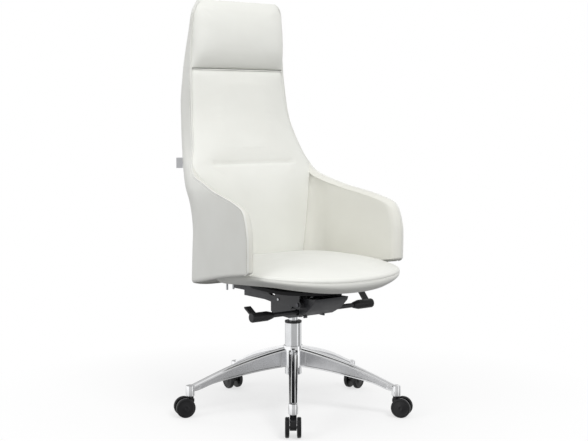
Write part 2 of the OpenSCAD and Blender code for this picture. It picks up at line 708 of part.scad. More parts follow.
// Outer face of an arm pad, against the core.
function pad_outside(z) =
    let (half = half_outline(z, lining_in, 2), x0 = along(cushion_half, z) + seam_gap,
         c = along(shell_corner, z), r = along(shell_rear, z), w = along(shell_half, z),
         a_end = acos(min(1, max(0, (x0 - (w - c)) / (c - lining_in)))))
    concat(
        [for (j = [0 : line_steps]) half[j]],
        [for (j = [1 : line_steps])
            let (a = a_end * j / line_steps)
            [w - c + (c - lining_in) * cos(a), r - c + (c - lining_in) * sin(a)]]);

module arm_pad(side) color(leather) scale([side, 1, 1])
    wall_loft([for (z = pad_levels) [z, pad_inside(z), pad_outside(z)]], lift = true);

module left_arm_pad() arm_pad(1);
module right_arm_pad() arm_pad(-1);

// Front and rear lines of a cushion between the shell's sides.
cushion_steps = 12;
function cushion_front(z, half, mid, side) = [for (i = [0 : cushion_steps])
    let (t = 2 * i / cushion_steps - 1)
    [half * t, mid + (side - mid) * pow(abs(t), 3)]];
function cushion_back(z, half) = [for (i = [0 : cushion_steps])
    let (x = half * (2 * i / cushion_steps - 1))
    [x, core_inside_y(x, z)]];

module back_cushion() color(leather) wall_loft([for (z = cushion_levels)
    let (half = along(cushion_half, z))
    [z, cushion_front(z, half, along(cushion_mid, z), along(cushion_side, z)),
        cushion_back(z, half)]], lift = true);

module headrest_cushion() color(leather) wall_loft([for (z = headrest_levels)
    let (half = along(shell_half, z) - headrest_inset)
    [z, cushion_front(z, half, along(headrest_mid, z), along(headrest_side, z)),
        cushion_back(z, half)]]);

// Small blank tag that stands out of the shell's side seam
module side_tag() color(steel) {
    c = along(shell_corner, tag_z);
    translate([c - along(shell_half, tag_z), along(shell_rear, tag_z) - c, tag_z])
        rotate([0, 0, tag_turn]) translate([c + 0.3, -tag_size[1] / 2, -tag_size[2] / 2])
            cube(tag_size);
}

// ---- Nodes ---------------------------------------------------------------------------------

five_star_base();
stem_sockets();
caster_stems();
column_outer_tube();
column_cap_ring();
column_guide_bush();
thrust_bearing();
piston_rod();
piston_head();
rod_clip();
gas_cylinder();
cylinder_gland();
mechanism_housing();
main_pivot_pin();
seat_pivot_pin();
pivot_spacers();
tilt_springs();
height_lever_pin();
valve_button();
height_lever();
height_lever_paddle();
tilt_lock_shaft();
tilt_lock_paddle();
tilt_lock_cam();
back_fork();
fork_bolts();
link_pins();
shell_core();
outer_shell();
back_cushion();
headrest_cushion();
left_arm_pad();
right_arm_pad();
side_tag();
seat_plate();
seat_bolts();
seat_pan();
seat_cushion();
caster_body(0);  // caster_body_1
caster_body(1);  // caster_body_2
caster_body(2);  // caster_body_3
caster_body(3);  // caster_body_4
caster_body(4);  // caster_body_5
caster_axle(0);  // caster_axle_1
caster_axle(1);  // caster_axle_2
caster_axle(2);  // caster_axle_3
caster_axle(3);  // caster_axle_4
caster_axle(4);  // caster_axle_5
wheel(0, 1);  // wheel_1a
wheel(1, 1);  // wheel_2a
wheel(2, 1);  // wheel_3a
wheel(3, 1);  // wheel_4a
wheel(4, 1);  // wheel_5a
wheel(0, -1);  // wheel_1b
wheel(1, -1);  // wheel_2b
wheel(2, -1);  // wheel_3b
wheel(3, -1);  // wheel_4b
wheel(4, -1);  // wheel_5b
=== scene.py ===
import math

import bmesh
import bpy
import numpy as np
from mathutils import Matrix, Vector, kdtree, noise


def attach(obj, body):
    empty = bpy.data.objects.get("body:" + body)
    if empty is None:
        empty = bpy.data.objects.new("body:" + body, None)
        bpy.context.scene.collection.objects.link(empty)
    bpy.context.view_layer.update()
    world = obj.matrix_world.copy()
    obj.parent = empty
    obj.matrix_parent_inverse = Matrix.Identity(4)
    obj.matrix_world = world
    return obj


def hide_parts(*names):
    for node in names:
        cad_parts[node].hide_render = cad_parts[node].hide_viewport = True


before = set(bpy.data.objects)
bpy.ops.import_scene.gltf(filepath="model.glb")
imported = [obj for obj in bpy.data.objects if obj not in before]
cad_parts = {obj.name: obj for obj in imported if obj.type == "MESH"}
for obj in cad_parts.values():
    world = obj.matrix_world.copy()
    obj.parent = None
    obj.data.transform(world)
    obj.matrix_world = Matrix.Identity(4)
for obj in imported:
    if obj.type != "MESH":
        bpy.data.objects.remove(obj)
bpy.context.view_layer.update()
scene = bpy.context.scene
MM = 0.001

# ---- Camera ----
CAMERA_AT = Vector((-2.1723, -2.8244, 0.8883))
CAMERA_AZIMUTH = math.radians(37.6)
CAMERA_DOWN = 0.0883
CAMERA_LENS = 72.93

camera = bpy.data.objects.new("camera", bpy.data.cameras.new("camera"))
camera.data.sensor_width = 36.0
camera.data.lens = CAMERA_LENS
camera.location = CAMERA_AT
looking = Vector((math.sin(CAMERA_AZIMUTH) * math.cos(CAMERA_DOWN),
                  math.cos(CAMERA_AZIMUTH) * math.cos(CAMERA_DOWN), -math.sin(CAMERA_DOWN)))
camera.rotation_mode = "QUATERNION"
camera.rotation_quaternion = looking.to_track_quat("-Z", "Y")
camera.data.clip_start, camera.data.clip_end = 0.05, 60
scene.collection.objects.link(camera)
scene.camera = camera

# ---- Shape tables, as in the CAD source, in millimetres ----
SKIN_T = 7
ARM_T = 25
ARM_FLARE = 32
SHELL_LOW = 358
SHELL_TOP = 1240
SLOPE_END_Z = 560
LOW_RISE = [[-172, 89], [-22, 66], [120, 38], [200, 22.5], [240, 13], [274, 0]]
SHELL_REAR = [[358, 274], [475, 266], [550, 262], [620, 273], [695, 305], [785, 340], [870, 359],
              [945, 363], [1060, 347], [1155, 322], [1243, 306]]
SHELL_HALF = [[358, 255], [600, 255], [660, 252], [695, 243], [730, 230], [785, 208], [870, 190],
              [945, 183], [1060, 177], [1155, 173], [1205, 167], [1243, 148]]
SHELL_CORNER = [[358, 150], [620, 140], [695, 115], [785, 70], [870, 50], [945, 40], [1155, 30],
                [1243, 18]]
SHELL_EDGE = [[358, -172], [540, -172], [590, -162], [625, -140], [640, -100], [655, -34], [670, 46],
              [690, 120], [705, 170], [722, 195], [757, 217], [795, 232], [870, 262], [950, 276],
              [1030, 284], [1160, 285], [1243, 273]]
CUSHION_HALF = [[430, 176], [560, 195], [640, 206], [690, 213], [722, 211]]
CUSHION_MID = [[430, 175], [560, 166], [650, 168], [737, 196], [870, 245], [950, 262], [1030, 274]]
CUSHION_SIDE = [[430, 178], [600, 183], [690, 192], [757, 212], [870, 256], [950, 272], [1030, 281]]
HEADREST_MID = [[1033, 266], [1090, 254], [1150, 253], [1210, 260], [1243, 274]]
CUSHION_LOW, CUSHION_TOP = 425, 1030
HEADREST_LOW, HEADREST_TOP = 1033, 1243
LUMBAR_Z = 737
SEAT_HALF_W, SEAT_FRONT, SEAT_REAR = 257, 318, 172
SEAT_LOW, SEAT_TOP, SEAT_MID_Y, SEAT_RISE, SEAT_SEAM_H = 388, 474, -60, 30, 33
SEAT_RISE_END = 118


def along(table, position):
    """Smooth curve through the rows of a table of [height, value], as the CAD source draws it."""
    t = np.asarray(table, float)
    p = np.clip(np.asarray(position, float), t[0, 0], t[-1, 0])
    n = len(t)
    i = np.clip(np.searchsorted(t[:, 0], p, side="left") - 1, 0, n - 2)
    a, b = np.maximum(np.arange(n) - 1, 0), np.minimum(np.arange(n) + 1, n - 1)
    slope = (t[b, 1] - t[a, 1]) / (t[b, 0] - t[a, 0])
    h = t[i + 1, 0] - t[i, 0]
    u = (p - t[i, 0]) / h
    u2, u3 = u * u, u * u * u
    return (t[i, 1] * (1 - 3 * u2 + 2 * u3) + t[i + 1, 1] * (3 * u2 - 2 * u3)
            + h * (slope[i] * (u - 2 * u2 + u3) + slope[i + 1] * (u3 - u2)))


def flare_at(y):
    return ARM_FLARE * np.minimum(np.maximum((120 - y) / 270, 0), 1.1)


def raised(z, y):
    """Height of a shell point: the lower edge rises towards the arm fronts."""
    share = np.maximum(0, (SLOPE_END_Z - z) / (SLOPE_END_Z - SHELL_LOW))
    return z + share * along(LOW_RISE, y)


def smooth_step(x, low, high):
    u = np.clip((np.asarray(x, float) - low) / (high - low), 0, 1)
    return u * u * (3 - 2 * u)


def rough(point, size, seed=0.0):
    """Smooth noise of about -1 to 1 at a point in millimetres, with features of that size."""
    return noise.noise(Vector((point[0] / size + seed, point[1] / size - seed, point[2] / size + 2 * seed)))


def travelled(x, y):
    """Distance along a flat path at each of its points."""
    return np.concatenate([[0], np.cumsum(np.hypot(np.diff(x), np.diff(y)))])


# ---- Mesh helpers ----
def mesh_object(name, points, faces, materials, smooth=True, face_material=None):
    """A mesh object from points in millimetres."""
    mesh = bpy.data.meshes.new(name)
    mesh.from_pydata([tuple(p) for p in np.asarray(points, float) * MM], [], faces)
    for material in materials:
        mesh.materials.append(material)
    if face_material is not None:
        mesh.polygons.foreach_set("material_index", face_material)
    mesh.polygons.foreach_set("use_smooth", [smooth] * len(mesh.polygons))
    made = bmesh.new()
    made.from_mesh(mesh)
    bmesh.ops.remove_doubles(made, verts=made.verts, dist=1e-6)
    bmesh.ops.dissolve_degenerate(made, dist=1e-7, edges=made.edges)
    bmesh.ops.recalc_face_normals(made, faces=made.faces)
    made.to_mesh(mesh)
    made.free()
    piece = bpy.data.objects.new(name, mesh)
    scene.collection.objects.link(piece)
    return piece


def grid_faces(rows, columns, start=0, wrap=False, flip=False):
    faces = []
    for r in range(rows - 1):
        for c in range(columns if wrap else columns - 1):
            d = (c + 1) % columns
            face = (start + r * columns + c, start + r * columns + d,
                    start + (r + 1) * columns + d, start + (r + 1) * columns + c)
            faces.append(face[::-1] if flip else face)
    return faces


def closed_sheet(front, back, side=1):
    """Points and faces of a solid between two grids (rows, columns, 3). side -1 mirrors it in X."""
    rows, columns, _ = front.shape
    count = rows * columns
    points = np.concatenate([front.reshape(-1, 3), back.reshape(-1, 3)]) * [side, 1, 1]
    faces = grid_faces(rows, columns) + grid_faces(rows, columns, count, flip=True)
    border = ([c for c in range(columns)] + [r * columns + columns - 1 for r in range(1, rows)]
              + [(rows - 1) * columns + c for c in range(columns - 2, -1, -1)]
              + [r * columns for r in range(rows - 2, 0, -1)])
    for a, b in zip(border, border[1:] + border[:1]):
        faces.append((b, a, a + count, b + count))
    return points, faces


def lathe(profile, segments=64):
    """Points and faces of a closed [radius, height] profile turned about Z."""
    n = len(profile)
    points = [(r * math.cos(2 * math.pi * s / segments), r * math.sin(2 * math.pi * s / segments), z)
              for s in range(segments) for r, z in profile]
    faces = []
    for s in range(segments):
        t = (s + 1) % segments
        for i in range(n):
            j = (i + 1) % n
            if profile[i][0] == 0 and profile[j][0] == 0:
                continue
            faces.append((s * n + i, t * n + i, t * n + j, s * n + j))
    return np.array(points), faces


def frames_along(path, closed):
    """Tangent, side and up vectors at each point of a path."""
    p = np.asarray(path, float)
    if closed:
        tangent = np.roll(p, -1, 0) - np.roll(p, 1, 0)
    else:
        tangent = np.gradient(p, axis=0)
    tangent /= np.linalg.norm(tangent, axis=1)[:, None]
    side = np.zeros_like(p)
    last = np.cross(tangent[0], [0.3, 0.5, 0.81])
    for i, t in enumerate(tangent):
        last = last - t * (last @ t)
        last = last / np.linalg.norm(last)
        side[i] = last
    return tangent, side, np.cross(tangent, side)


def tube(path, radius, sides=10, closed=False):
    """Points and faces of a tube along a path. radius is a number, or one for each point."""
    p = np.asarray(path, float)
    radii = np.broadcast_to(np.asarray(radius, float), (len(p),))
    _, side, up = frames_along(p, closed)
    turn = 2 * np.pi * np.arange(sides) / sides
    cos, sin = np.cos(turn)[None, :, None], np.sin(turn)[None, :, None]
    rings = p[:, None, :] + radii[:, None, None] * (cos * side[:, None, :] + sin * up[:, None, :])
    faces = grid_faces(len(p), sides, wrap=True)
    points = rings.reshape(-1, 3)
    if closed:
        last = (len(p) - 1) * sides
        drift = int(np.argmin([np.linalg.norm(rings[-1][k] - rings[0][0]) for k in range(sides)]))
        faces += [(last + (c + drift) % sides, last + (c + 1 + drift) % sides, (c + 1) % sides, c)
                  for c in range(sides)]
    else:
        faces.append(tuple(range(sides))[::-1])
        faces.append(tuple(range(len(points) - sides, len(points))))
    return points, faces


def evenly(path, spacing, closed=False):
    """The path resampled at an even spacing."""
    p = np.asarray(path, float)
    if closed:
        p = np.concatenate([p, p[:1]])
    reach = np.concatenate([[0], np.cumsum(np.linalg.norm(np.diff(p, axis=0), axis=1))])
    count = max(2, int(round(reach[-1] / spacing)))
    at = np.linspace(0, reach[-1], count + 1)
    if closed:
        at = at[:-1]
    return np.stack([np.interp(at, reach, p[:, k]) for k in range(3)], 1)


STITCH_SPACING, STITCH_LENGTH, STITCH_R = 5.0, 3.6, 0.42
STITCH_ARCH = 0.55  # height of a stitch's middle over its ends, in radii
STITCH_SIDES = 6
STITCH_RINGS = ((-0.5, 0.25), (-0.36, 0.9), (0, 1.0), (0.36, 0.9), (0.5, 0.25))  # place, thickness


def stitches(name, path, outward, material, closed=False):
    """A row of thread stitches along a path. outward is the surface normal at each path point."""
    p = np.asarray(path, float)
    even = evenly(p, STITCH_SPACING, closed)
    normals = np.asarray(outward, float)
    nearest = [int(np.argmin(np.sum((p - q) ** 2, axis=1))) for q in even]
    tangent, _, _ = frames_along(even, closed)
    points, faces = [], []
    for q, t, k in zip(even, tangent, nearest):
        up = normals[k] / np.linalg.norm(normals[k])
        side = np.cross(up, t)
        side /= np.linalg.norm(side)
        base = len(points)
        for share, thick in STITCH_RINGS:
            centre = q + t * STITCH_LENGTH * share + up * STITCH_R * STITCH_ARCH * (1 - (2 * share) ** 2)
            for a in range(STITCH_SIDES):
                turn = 2 * math.pi * a / STITCH_SIDES
                points.append(centre + STITCH_R * thick * (math.cos(turn) * side + math.sin(turn) * up))
        faces += grid_faces(len(STITCH_RINGS), STITCH_SIDES, base, wrap=True)
        faces.append(tuple(range(base, base + STITCH_SIDES))[::-1])
        faces.append(tuple(range(len(points) - STITCH_SIDES, len(points))))
    return mesh_object(name, points, faces, [material])


# ---- Filling of the cushions, as a cloth simulation ----
VOXEL, CLOTH_FRAMES, CLOTH_PRESSURE = 0.006, 20, 4.0
CLOTH_MASS, CLOTH_STIFFNESS, CLOTH_BENDING = 0.12, 5.0, 0.5
NEIGHBOURS = 4  # points of the coarse copy that a point of the detailed mesh follows


def fill_out(piece, cap_mm, sewn):
    """Pushes a cushion's cover out from inside, as its filling does.

    A coarse copy is simulated as cloth. It is held where sewn(points) is true. Its movement, limited to
    cap_mm, is then given to the detailed mesh, so seams and folds stay as they are drawn.
    """
    copy = bpy.data.objects.new("cloth_copy", piece.data.copy())
    scene.collection.objects.link(copy)
    remesh = copy.modifiers.new("remesh", "REMESH")
    remesh.mode = "VOXEL"
    remesh.voxel_size = VOXEL
    depsgraph = bpy.context.evaluated_depsgraph_get()
    coarse = bpy.data.meshes.new_from_object(copy.evaluated_get(depsgraph))
    copy.modifiers.clear()
    copy.data = coarse
    start = np.empty(len(coarse.vertices) * 3)
    coarse.vertices.foreach_get("co", start)
    start = start.reshape(-1, 3)
    held = copy.vertex_groups.new(name="sewn")
    held.add([int(i) for i in np.nonzero(sewn(start / MM))[0]], 1.0, "REPLACE")
    cloth = copy.modifiers.new("cloth", "CLOTH")
    cloth.settings.quality = 3
    cloth.settings.mass = CLOTH_MASS
    cloth.settings.tension_stiffness = cloth.settings.compression_stiffness = CLOTH_STIFFNESS
    cloth.settings.bending_stiffness = CLOTH_BENDING
    cloth.settings.use_pressure = True
    cloth.settings.uniform_pressure_force = CLOTH_PRESSURE
    cloth.settings.vertex_group_mass = "sewn"
    cloth.settings.effector_weights.gravity = 0
    cloth.collision_settings.use_self_collision = False
    for frame_number in range(1, CLOTH_FRAMES + 1):
        scene.frame_set(frame_number)
    end = np.empty(len(start) * 3)
    copy.evaluated_get(bpy.context.evaluated_depsgraph_get()).data.vertices.foreach_get("co", end)
    push = end.reshape(-1, 3) - start
    length = np.linalg.norm(push, axis=1)[:, None]
    push *= np.minimum(1, cap_mm * MM / np.maximum(length, 1e-9))
    tree = kdtree.KDTree(len(start))
    for i, at in enumerate(start):
        tree.insert(at, i)
    tree.balance()
    for vertex in piece.data.vertices:
        near = tree.find_n(vertex.co, NEIGHBOURS)
        weights = np.array([1 / (distance + 1e-4) for _, _, distance in near])
        vertex.co += Vector(weights @ push[[i for _, i, _ in near]] / weights.sum())
    bpy.data.objects.remove(copy)
    scene.frame_set(1)


# ---- Materials ----
def new_material(name):
    material = bpy.data.materials.new(name)
    material.use_nodes = True
    tree = material.node_tree
    return material, tree, tree.nodes["Principled BSDF"]


def feed(tree, node, inputs):
    """Sets a node's inputs, by name or number. A value that is another node's output is linked."""
    for key, value in inputs.items():
        if isinstance(value, bpy.types.NodeSocket):
            tree.links.new(value, node.inputs[key])
        else:
            node.inputs[key].default_value = value
    return node


def add(tree, kind, inputs=None, **settings):
    node = tree.nodes.new(kind)
    for key, value in settings.items():
        setattr(node, key, value)
    return feed(tree, node, inputs or {})


def noise_node(tree, coordinates, scale, detail=3.0, roughness=0.55):
    inputs = {"Vector": coordinates, "Scale": scale, "Detail": detail, "Roughness": roughness}
    return add(tree, "ShaderNodeTexNoise", inputs).outputs["Fac"]


def mapped(tree, value, low, high, from_low=0.3, from_high=0.7):
    inputs = {"Value": value, "From Min": from_low, "From Max": from_high, "To Min": low, "To Max": high}
    return add(tree, "ShaderNodeMapRange", inputs).outputs["Result"]


MIX_FACTOR, MIX_A, MIX_B, MIX_RESULT = 0, 6, 7, 2  # numbers of a colour mix node's sockets


def mixed(tree, factor, a, b, blend_type="MIX"):
    """Colour a at factor 0 and b at factor 1. Each is a colour or another node's output."""
    a, b = ((*c, 1) if isinstance(c, tuple) else c for c in (a, b))
    inputs = {MIX_FACTOR: factor, MIX_A: a, MIX_B: b}
    return add(tree, "ShaderNodeMix", inputs, data_type="RGBA", blend_type=blend_type).outputs[MIX_RESULT]


def mixed_shader(tree, factor, a, b):
    """Shader a at factor 0 and b at factor 1."""
    return add(tree, "ShaderNodeMixShader", {"Fac": factor, 1: a, 2: b}).outputs["Shader"]


def bumped(tree, height, distance, strength, before=None):
    node = add(tree, "ShaderNodeBump", {"Height": height, "Distance": distance, "Strength": strength})
    if before is not None:
        feed(tree, node, {"Normal": before})
    return node.outputs["Normal"]


def place(tree):
    return add(tree, "ShaderNodeTexCoord").outputs["Object"]


def leather(name, colour, shade, gloss=0.44):
    """Pigmented leather: pebble grain, finer pores, soft stretch marks and slight toning."""
    material, tree, shader = new_material(name)
    at = place(tree)
    warp = add(tree, "ShaderNodeTexNoise", {"Vector": at, "Scale": 90.0, "Detail": 2.0}).outputs["Color"]
    bent = add(tree, "ShaderNodeVectorMath", {0: warp, 1: (0.0016, 0.0016, 0.0016), 2: at},
               operation="MULTIPLY_ADD").outputs["Vector"]
    grain = add(tree, "ShaderNodeTexVoronoi", {"Vector": bent, "Scale": 560.0, "Smoothness": 0.35},
                feature="SMOOTH_F1").outputs["Distance"]
    pores = noise_node(tree, at, 2100.0, 2.0)
    marks = noise_node(tree, at, 22.0, 4.0, 0.62)
    toning = noise_node(tree, at, 5.5)
    normal = bumped(tree, marks, 0.0007, 0.35)
    normal = bumped(tree, grain, 0.00028, 0.5, normal)
    normal = bumped(tree, pores, 0.00008, 0.4, normal)
    feed(tree, shader, {
        "Normal": normal, "Base Color": mixed(tree, mapped(tree, toning, 0, 1), colour, shade),
        "Roughness": mapped(tree, marks, gloss - 0.05, gloss + 0.08), "Specular IOR Level": 0.42,
        "Sheen Weight": 0.06, "Sheen Roughness": 0.5, "Coat Weight": 0.06, "Coat Roughness": 0.35})
    return material


def metal(name, colour, gloss_low, gloss_high, brush=None):
    """Bare or plated metal. brush is the stretch of its fine lines along X, Y and Z."""
    material, tree, shader = new_material(name)
    at = place(tree)
    smudge = noise_node(tree, at, 35.0, 4.0)
    if brush:
        lines = add(tree, "ShaderNodeMapping", {"Vector": at, "Scale": brush}).outputs["Vector"]
        uneven = noise_node(tree, lines, 1.0)
        normal = bumped(tree, uneven, 0.00006, 0.5)
    else:
        uneven = smudge
        normal = bumped(tree, noise_node(tree, at, 900.0, 2.0), 0.00002, 0.25)
    duller = tuple(c * 0.86 for c in colour)
    feed(tree, shader, {
        "Normal": normal, "Base Color": mixed(tree, mapped(tree, smudge, 0, 0.6), colour, duller),
        "Roughness": mapped(tree, uneven, gloss_low, gloss_high), "Metallic": 1.0})
    return material


def moulded(name, colour, gloss_low, gloss_high, grain=1400.0, depth=0.00005, specular=0.5):
    """Moulded plastic or powder coat: fine texture, and edges a little paler where they rub."""
    material, tree, shader = new_material(name)
    at = place(tree)
    fine = noise_node(tree, at, grain)
    broad = noise_node(tree, at, 28.0, 4.0)
    edge = add(tree, "ShaderNodeNewGeometry").outputs["Pointiness"]
    worn = tuple(min(1.0, c * 2.2 + 0.01) for c in colour)
    dusty = tuple(min(1.0, c * 1.35 + 0.004) for c in colour)
    base = mixed(tree, mapped(tree, edge, 0, 1, 0.53, 0.62), colour, worn)
    feed(tree, shader, {
        "Normal": bumped(tree, fine, depth, 0.6), "Specular IOR Level": specular,
        "Base Color": mixed(tree, mapped(tree, broad, 0, 0.7), base, dusty),
        "Roughness": mapped(tree, broad, gloss_low, gloss_high)})
    return material


SHELL_LEATHER = leather("shell_leather", (0.80, 0.806, 0.772), (0.765, 0.768, 0.73))
BACK_LEATHER = leather("back_leather", (0.81, 0.815, 0.775), (0.775, 0.778, 0.735))
SEAT_LEATHER = leather("seat_leather", (0.80, 0.805, 0.768), (0.765, 0.768, 0.728))
PIPING_LEATHER = leather("piping_leather", (0.78, 0.785, 0.75), (0.72, 0.722, 0.685), 0.36)
# Painted shade: a darker, warmer copy of the same leather for the arm insides and roll ends, standing in for
# the shade and the warm bounce light between the arms
SHADED_ARM_LEATHER = leather("arm_leather", (0.745, 0.742, 0.69), (0.71, 0.705, 0.65))
THREAD = moulded("thread", (0.74, 0.72, 0.67), 0.5, 0.65, 2600.0, 0.0001, 0.3)
POLISHED = metal("polished_aluminium", (0.90, 0.905, 0.915), 0.07, 0.15)
BRUSHED = metal("brushed_aluminium", (0.74, 0.745, 0.76), 0.24, 0.36, (260.0, 260.0, 2600.0))
CHROME = metal("column_chrome", (0.90, 0.91, 0.925), 0.11, 0.17)
ZINC = metal("zinc_steel", (0.56, 0.57, 0.59), 0.25, 0.4)
TAG = metal("tag_metal", (0.80, 0.81, 0.83), 0.3, 0.42, (300.0, 300.0, 2400.0))
PAINT = moulded("mechanism_paint", (0.028, 0.029, 0.033), 0.34, 0.46, 900.0, 0.00007)
BLACKENED = metal("blackened_steel", (0.10, 0.10, 0.11), 0.3, 0.42)
LEVER_PAINT = moulded("lever_rod", (0.026, 0.026, 0.029), 0.3, 0.42, 1100.0, 0.00005)
NYLON = moulded("lever_plastic", (0.011, 0.011, 0.0125), 0.32, 0.46, 1500.0, 0.00007, 0.4)
CASTER = moulded("caster_plastic", (0.006, 0.006, 0.007), 0.2, 0.3, 1300.0, 0.00005, 0.4)
TYRE = moulded("caster_wheel", (0.006, 0.006, 0.007), 0.16, 0.26, 1200.0, 0.00004, 0.4)
ACETAL = moulded("black_plastic", (0.018, 0.018, 0.020), 0.35, 0.5, 1500.0, 0.00004)
DUST_COVER = moulded("dust_cover", (0.03, 0.03, 0.032), 0.75, 0.9, 1800.0, 0.0004, 0.2)

# ---- The shell's front edge, as a curve from the arm's lower front to the headrest ----
EDGE_STEP = 5.0  # spacing of the rows along the edge
ROLL_ARM, ROLL_BACK = 12.5, 21.0  # radius of the rounded edge on the arms and beside the back
ROLL_TAPER = (712, 830)  # heights between which one becomes the other
ROLL_POWER = 0.82  # below 1, the roll's front is flatter than a circle
ROLL_SLOPE = 0.7  # share of its height that the roll loses towards the inner side
ROLL_START = 0.06  # share of its half turn at which the roll starts, under the piping
SEAM_END_Z = 712  # where the seam between arm and back meets the rolled edge
ARM_CORNER = 18.0  # radius of the arms' lower front corners
TOP_CORNER = 12.0  # radius of the shell's upper front corners
EDGE_SAMPLES = 6000  # points of the fine curve that the evenly spaced rows are read from

dense_z = np.linspace(SHELL_LOW, SHELL_TOP, EDGE_SAMPLES)
low_share = np.clip(1 - (dense_z - SHELL_LOW) / ARM_CORNER, 0, 1)
top_share = np.clip(1 - (SHELL_TOP - dense_z) / TOP_CORNER, 0, 1)
dense_y = (along(SHELL_EDGE, dense_z) + ARM_CORNER * (1 - np.sqrt(1 - low_share ** 2))
           + TOP_CORNER * (1 - np.sqrt(1 - top_share ** 2)))
dense_reach = travelled(dense_y, dense_z)
edge_count = int(dense_reach[-1] / EDGE_STEP)
edge_at = np.linspace(0, dense_reach[-1], edge_count)
edge_z = np.interp(edge_at, dense_reach, dense_z)
edge_y = np.interp(edge_at, dense_reach, dense_y)
edge_dy, edge_dz = np.gradient(edge_y), np.gradient(edge_z)
edge_length = np.hypot(edge_dy, edge_dz)
edge_out = np.stack([-edge_dz / edge_length, edge_dy / edge_length], 1)  # outward normal in (y, z)


def roll_slope(over):
    """The roll stands highest near the outer piping and slopes down towards its inner side."""
    return 1 - ROLL_SLOPE * ((1 - over / ROLL_ARM) / 2) ** 1.3


def roll_curve(turn, reach, height):
    """Cross-section of a roll: distance towards the outside, and height over its middle."""
    over = np.sign(np.cos(turn)) * np.abs(np.cos(turn)) ** ROLL_POWER * reach
    return over, np.sin(turn) ** ROLL_POWER * height * roll_slope(over)


def roll_radius(z):
    return ROLL_ARM + (ROLL_BACK - ROLL_ARM) * smooth_step(z, *ROLL_TAPER)


def inset_edge(inset):
    """The edge curve moved inwards: heights that never fall, and their y."""
    y = edge_y - inset * edge_out[:, 0]
    z = np.maximum.accumulate(edge_z - inset * edge_out[:, 1])
    z = z + np.arange(len(z)) * 1e-4
    return y, z


def shell_line(z, inset, start_y, columns):
    """Half of the shell's outline at height z, from start_y round the corner to the middle."""
    w, r, c = along(SHELL_HALF, z), along(SHELL_REAR, z), along(SHELL_CORNER, z)
    side_end = max(r - c, start_y + 2)
    straight, arc, flat = columns
    y = start_y + (side_end - start_y) * np.linspace(0, 1, straight + 1)
    x = w + flare_at(y) - inset
    a = np.linspace(0, np.pi / 2, arc + 1)[1:]
    corner_x = w - c + (c - inset) * np.cos(a)
    corner_y = r - c + (c - inset) * np.sin(a)
    flat_x = (w - c) * (1 - np.linspace(0, 1, flat + 1)[1:])
    return (np.concatenate([x, corner_x, flat_x]),
            np.concatenate([y, corner_y, np.full(flat, r - inset)]))


SHELL_COLUMNS = (26, 16, 10)  # along the side, round the corner and on to the middle
EASE_WIDTH, EASE_DEPTH = 7, 2.2  # the front border turns inwards over this width, under the piping


def shell_grid(profile):
    """Grid over the whole shell, from one front edge to the other. profile lists (y, z, inset)."""
    rows = []
    for start_y, z, inset in profile:
        x, y = shell_line(z, inset, start_y, SHELL_COLUMNS)
        if inset < SKIN_T - 1:
            near = np.clip(1 - (y - start_y) / EASE_WIDTH, 0, 1) * (np.arange(len(x)) < SHELL_COLUMNS[0])
            x = x - EASE_DEPTH * near ** 2
        half = np.stack([x, y, raised(z, y)], 1)
        rows.append(np.concatenate([half * [-1, 1, 1], half[-2::-1]]))
    return np.array(rows)


# ---- Outer shell: rear, sides and arm outsides in one piece ----
BOTTOM_ROUND, BOTTOM_TUCK = 15.0, 9.0  # height and depth of the curve under the shell's lower edge
TOP_ROUND, TOP_TUCK = 2.2, 5.5  # the same over its upper edge
PIPE_INSET = 3.0
outer_y, outer_z = inset_edge(PIPE_INSET)
outer_z = np.clip(outer_z, SHELL_LOW, SHELL_TOP)
bottom_rows = []
for a in np.radians([90, 76, 62, 48, 34, 20, 8]):
    z = SHELL_LOW + BOTTOM_ROUND * (1 - math.sin(a))
    bottom_rows.append((float(np.interp(z, outer_z, outer_y)), z, BOTTOM_TUCK * (1 - math.cos(a))))
body_rows = [(y, z, 0.0) for y, z in zip(outer_y, outer_z) if z > SHELL_LOW + BOTTOM_ROUND]
top_rows = [(outer_y[-1], SHELL_TOP + TOP_ROUND * math.sin(a), TOP_TUCK * (1 - math.cos(a)))
            for a in np.radians([25, 50, 75, 90])]
shell_rows = bottom_rows + body_rows + top_rows
shell_out = shell_grid(shell_rows)
shell_in = shell_grid([(y, z, max(SKIN_T - 0.5, inset + 1.5)) for y, z, inset in shell_rows])
for p in shell_out.reshape(-1, 3):
    p += 0.5 * rough(p, 120, 3.1) * np.array([p[0] / 260, 1.0, 0])
outer_shell = mesh_object("shell_upholstery", *closed_sheet(shell_out, shell_in), [SHELL_LEATHER])
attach(outer_shell, "backrest")
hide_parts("outer_shell")


# ---- Arm pads: rolled over the arm's edge and down its inner side ----
ROLL_STEPS = 14
PAD_COLUMNS = 30
PAD_TURN = 70  # the inner side starts to turn this far before the seam
PAD_FULLNESS = 2.5  # how far the leather stands out between roll and seam
SEAM_SINK = 3.2  # depth of a sewn seam between two padded panels
SEAM_ROUND = 11  # width over which a panel falls into its seam
CORE_COLUMNS, CORE_KEPT = (40, 24, 1), 58  # points of the hidden line, and those behind the pad
CORE_FRONT = 8  # length of the hidden line that lies behind the roll


def pad_line(z, start_y):
    """Inner side of an arm at height z, from its front round the corner to the seam with the back."""
    seam_x, seam_y = float(along(CUSHION_HALF, z)) + 0.4, float(along(CUSHION_SIDE, z))
    x_in = float(along(SHELL_HALF, z)) - ARM_T
    turn = min(max(seam_y - PAD_TURN, start_y + 4), seam_y - 1)
    start_y = min(start_y, seam_y - 2)
    turn = max(turn, start_y + 0.5)
    straight = PAD_COLUMNS // 2
    y = start_y + (turn - start_y) * np.linspace(0, 1, straight + 1)
    x = x_in + flare_at(y)
    a = np.linspace(0, np.pi / 2, PAD_COLUMNS - straight + 1)[1:]
    x_turn = x_in + flare_at(turn)
    return (np.concatenate([x, seam_x + (x_turn - seam_x) * np.cos(a)]),
            np.concatenate([y, turn + (seam_y - turn) * np.sin(a)]))


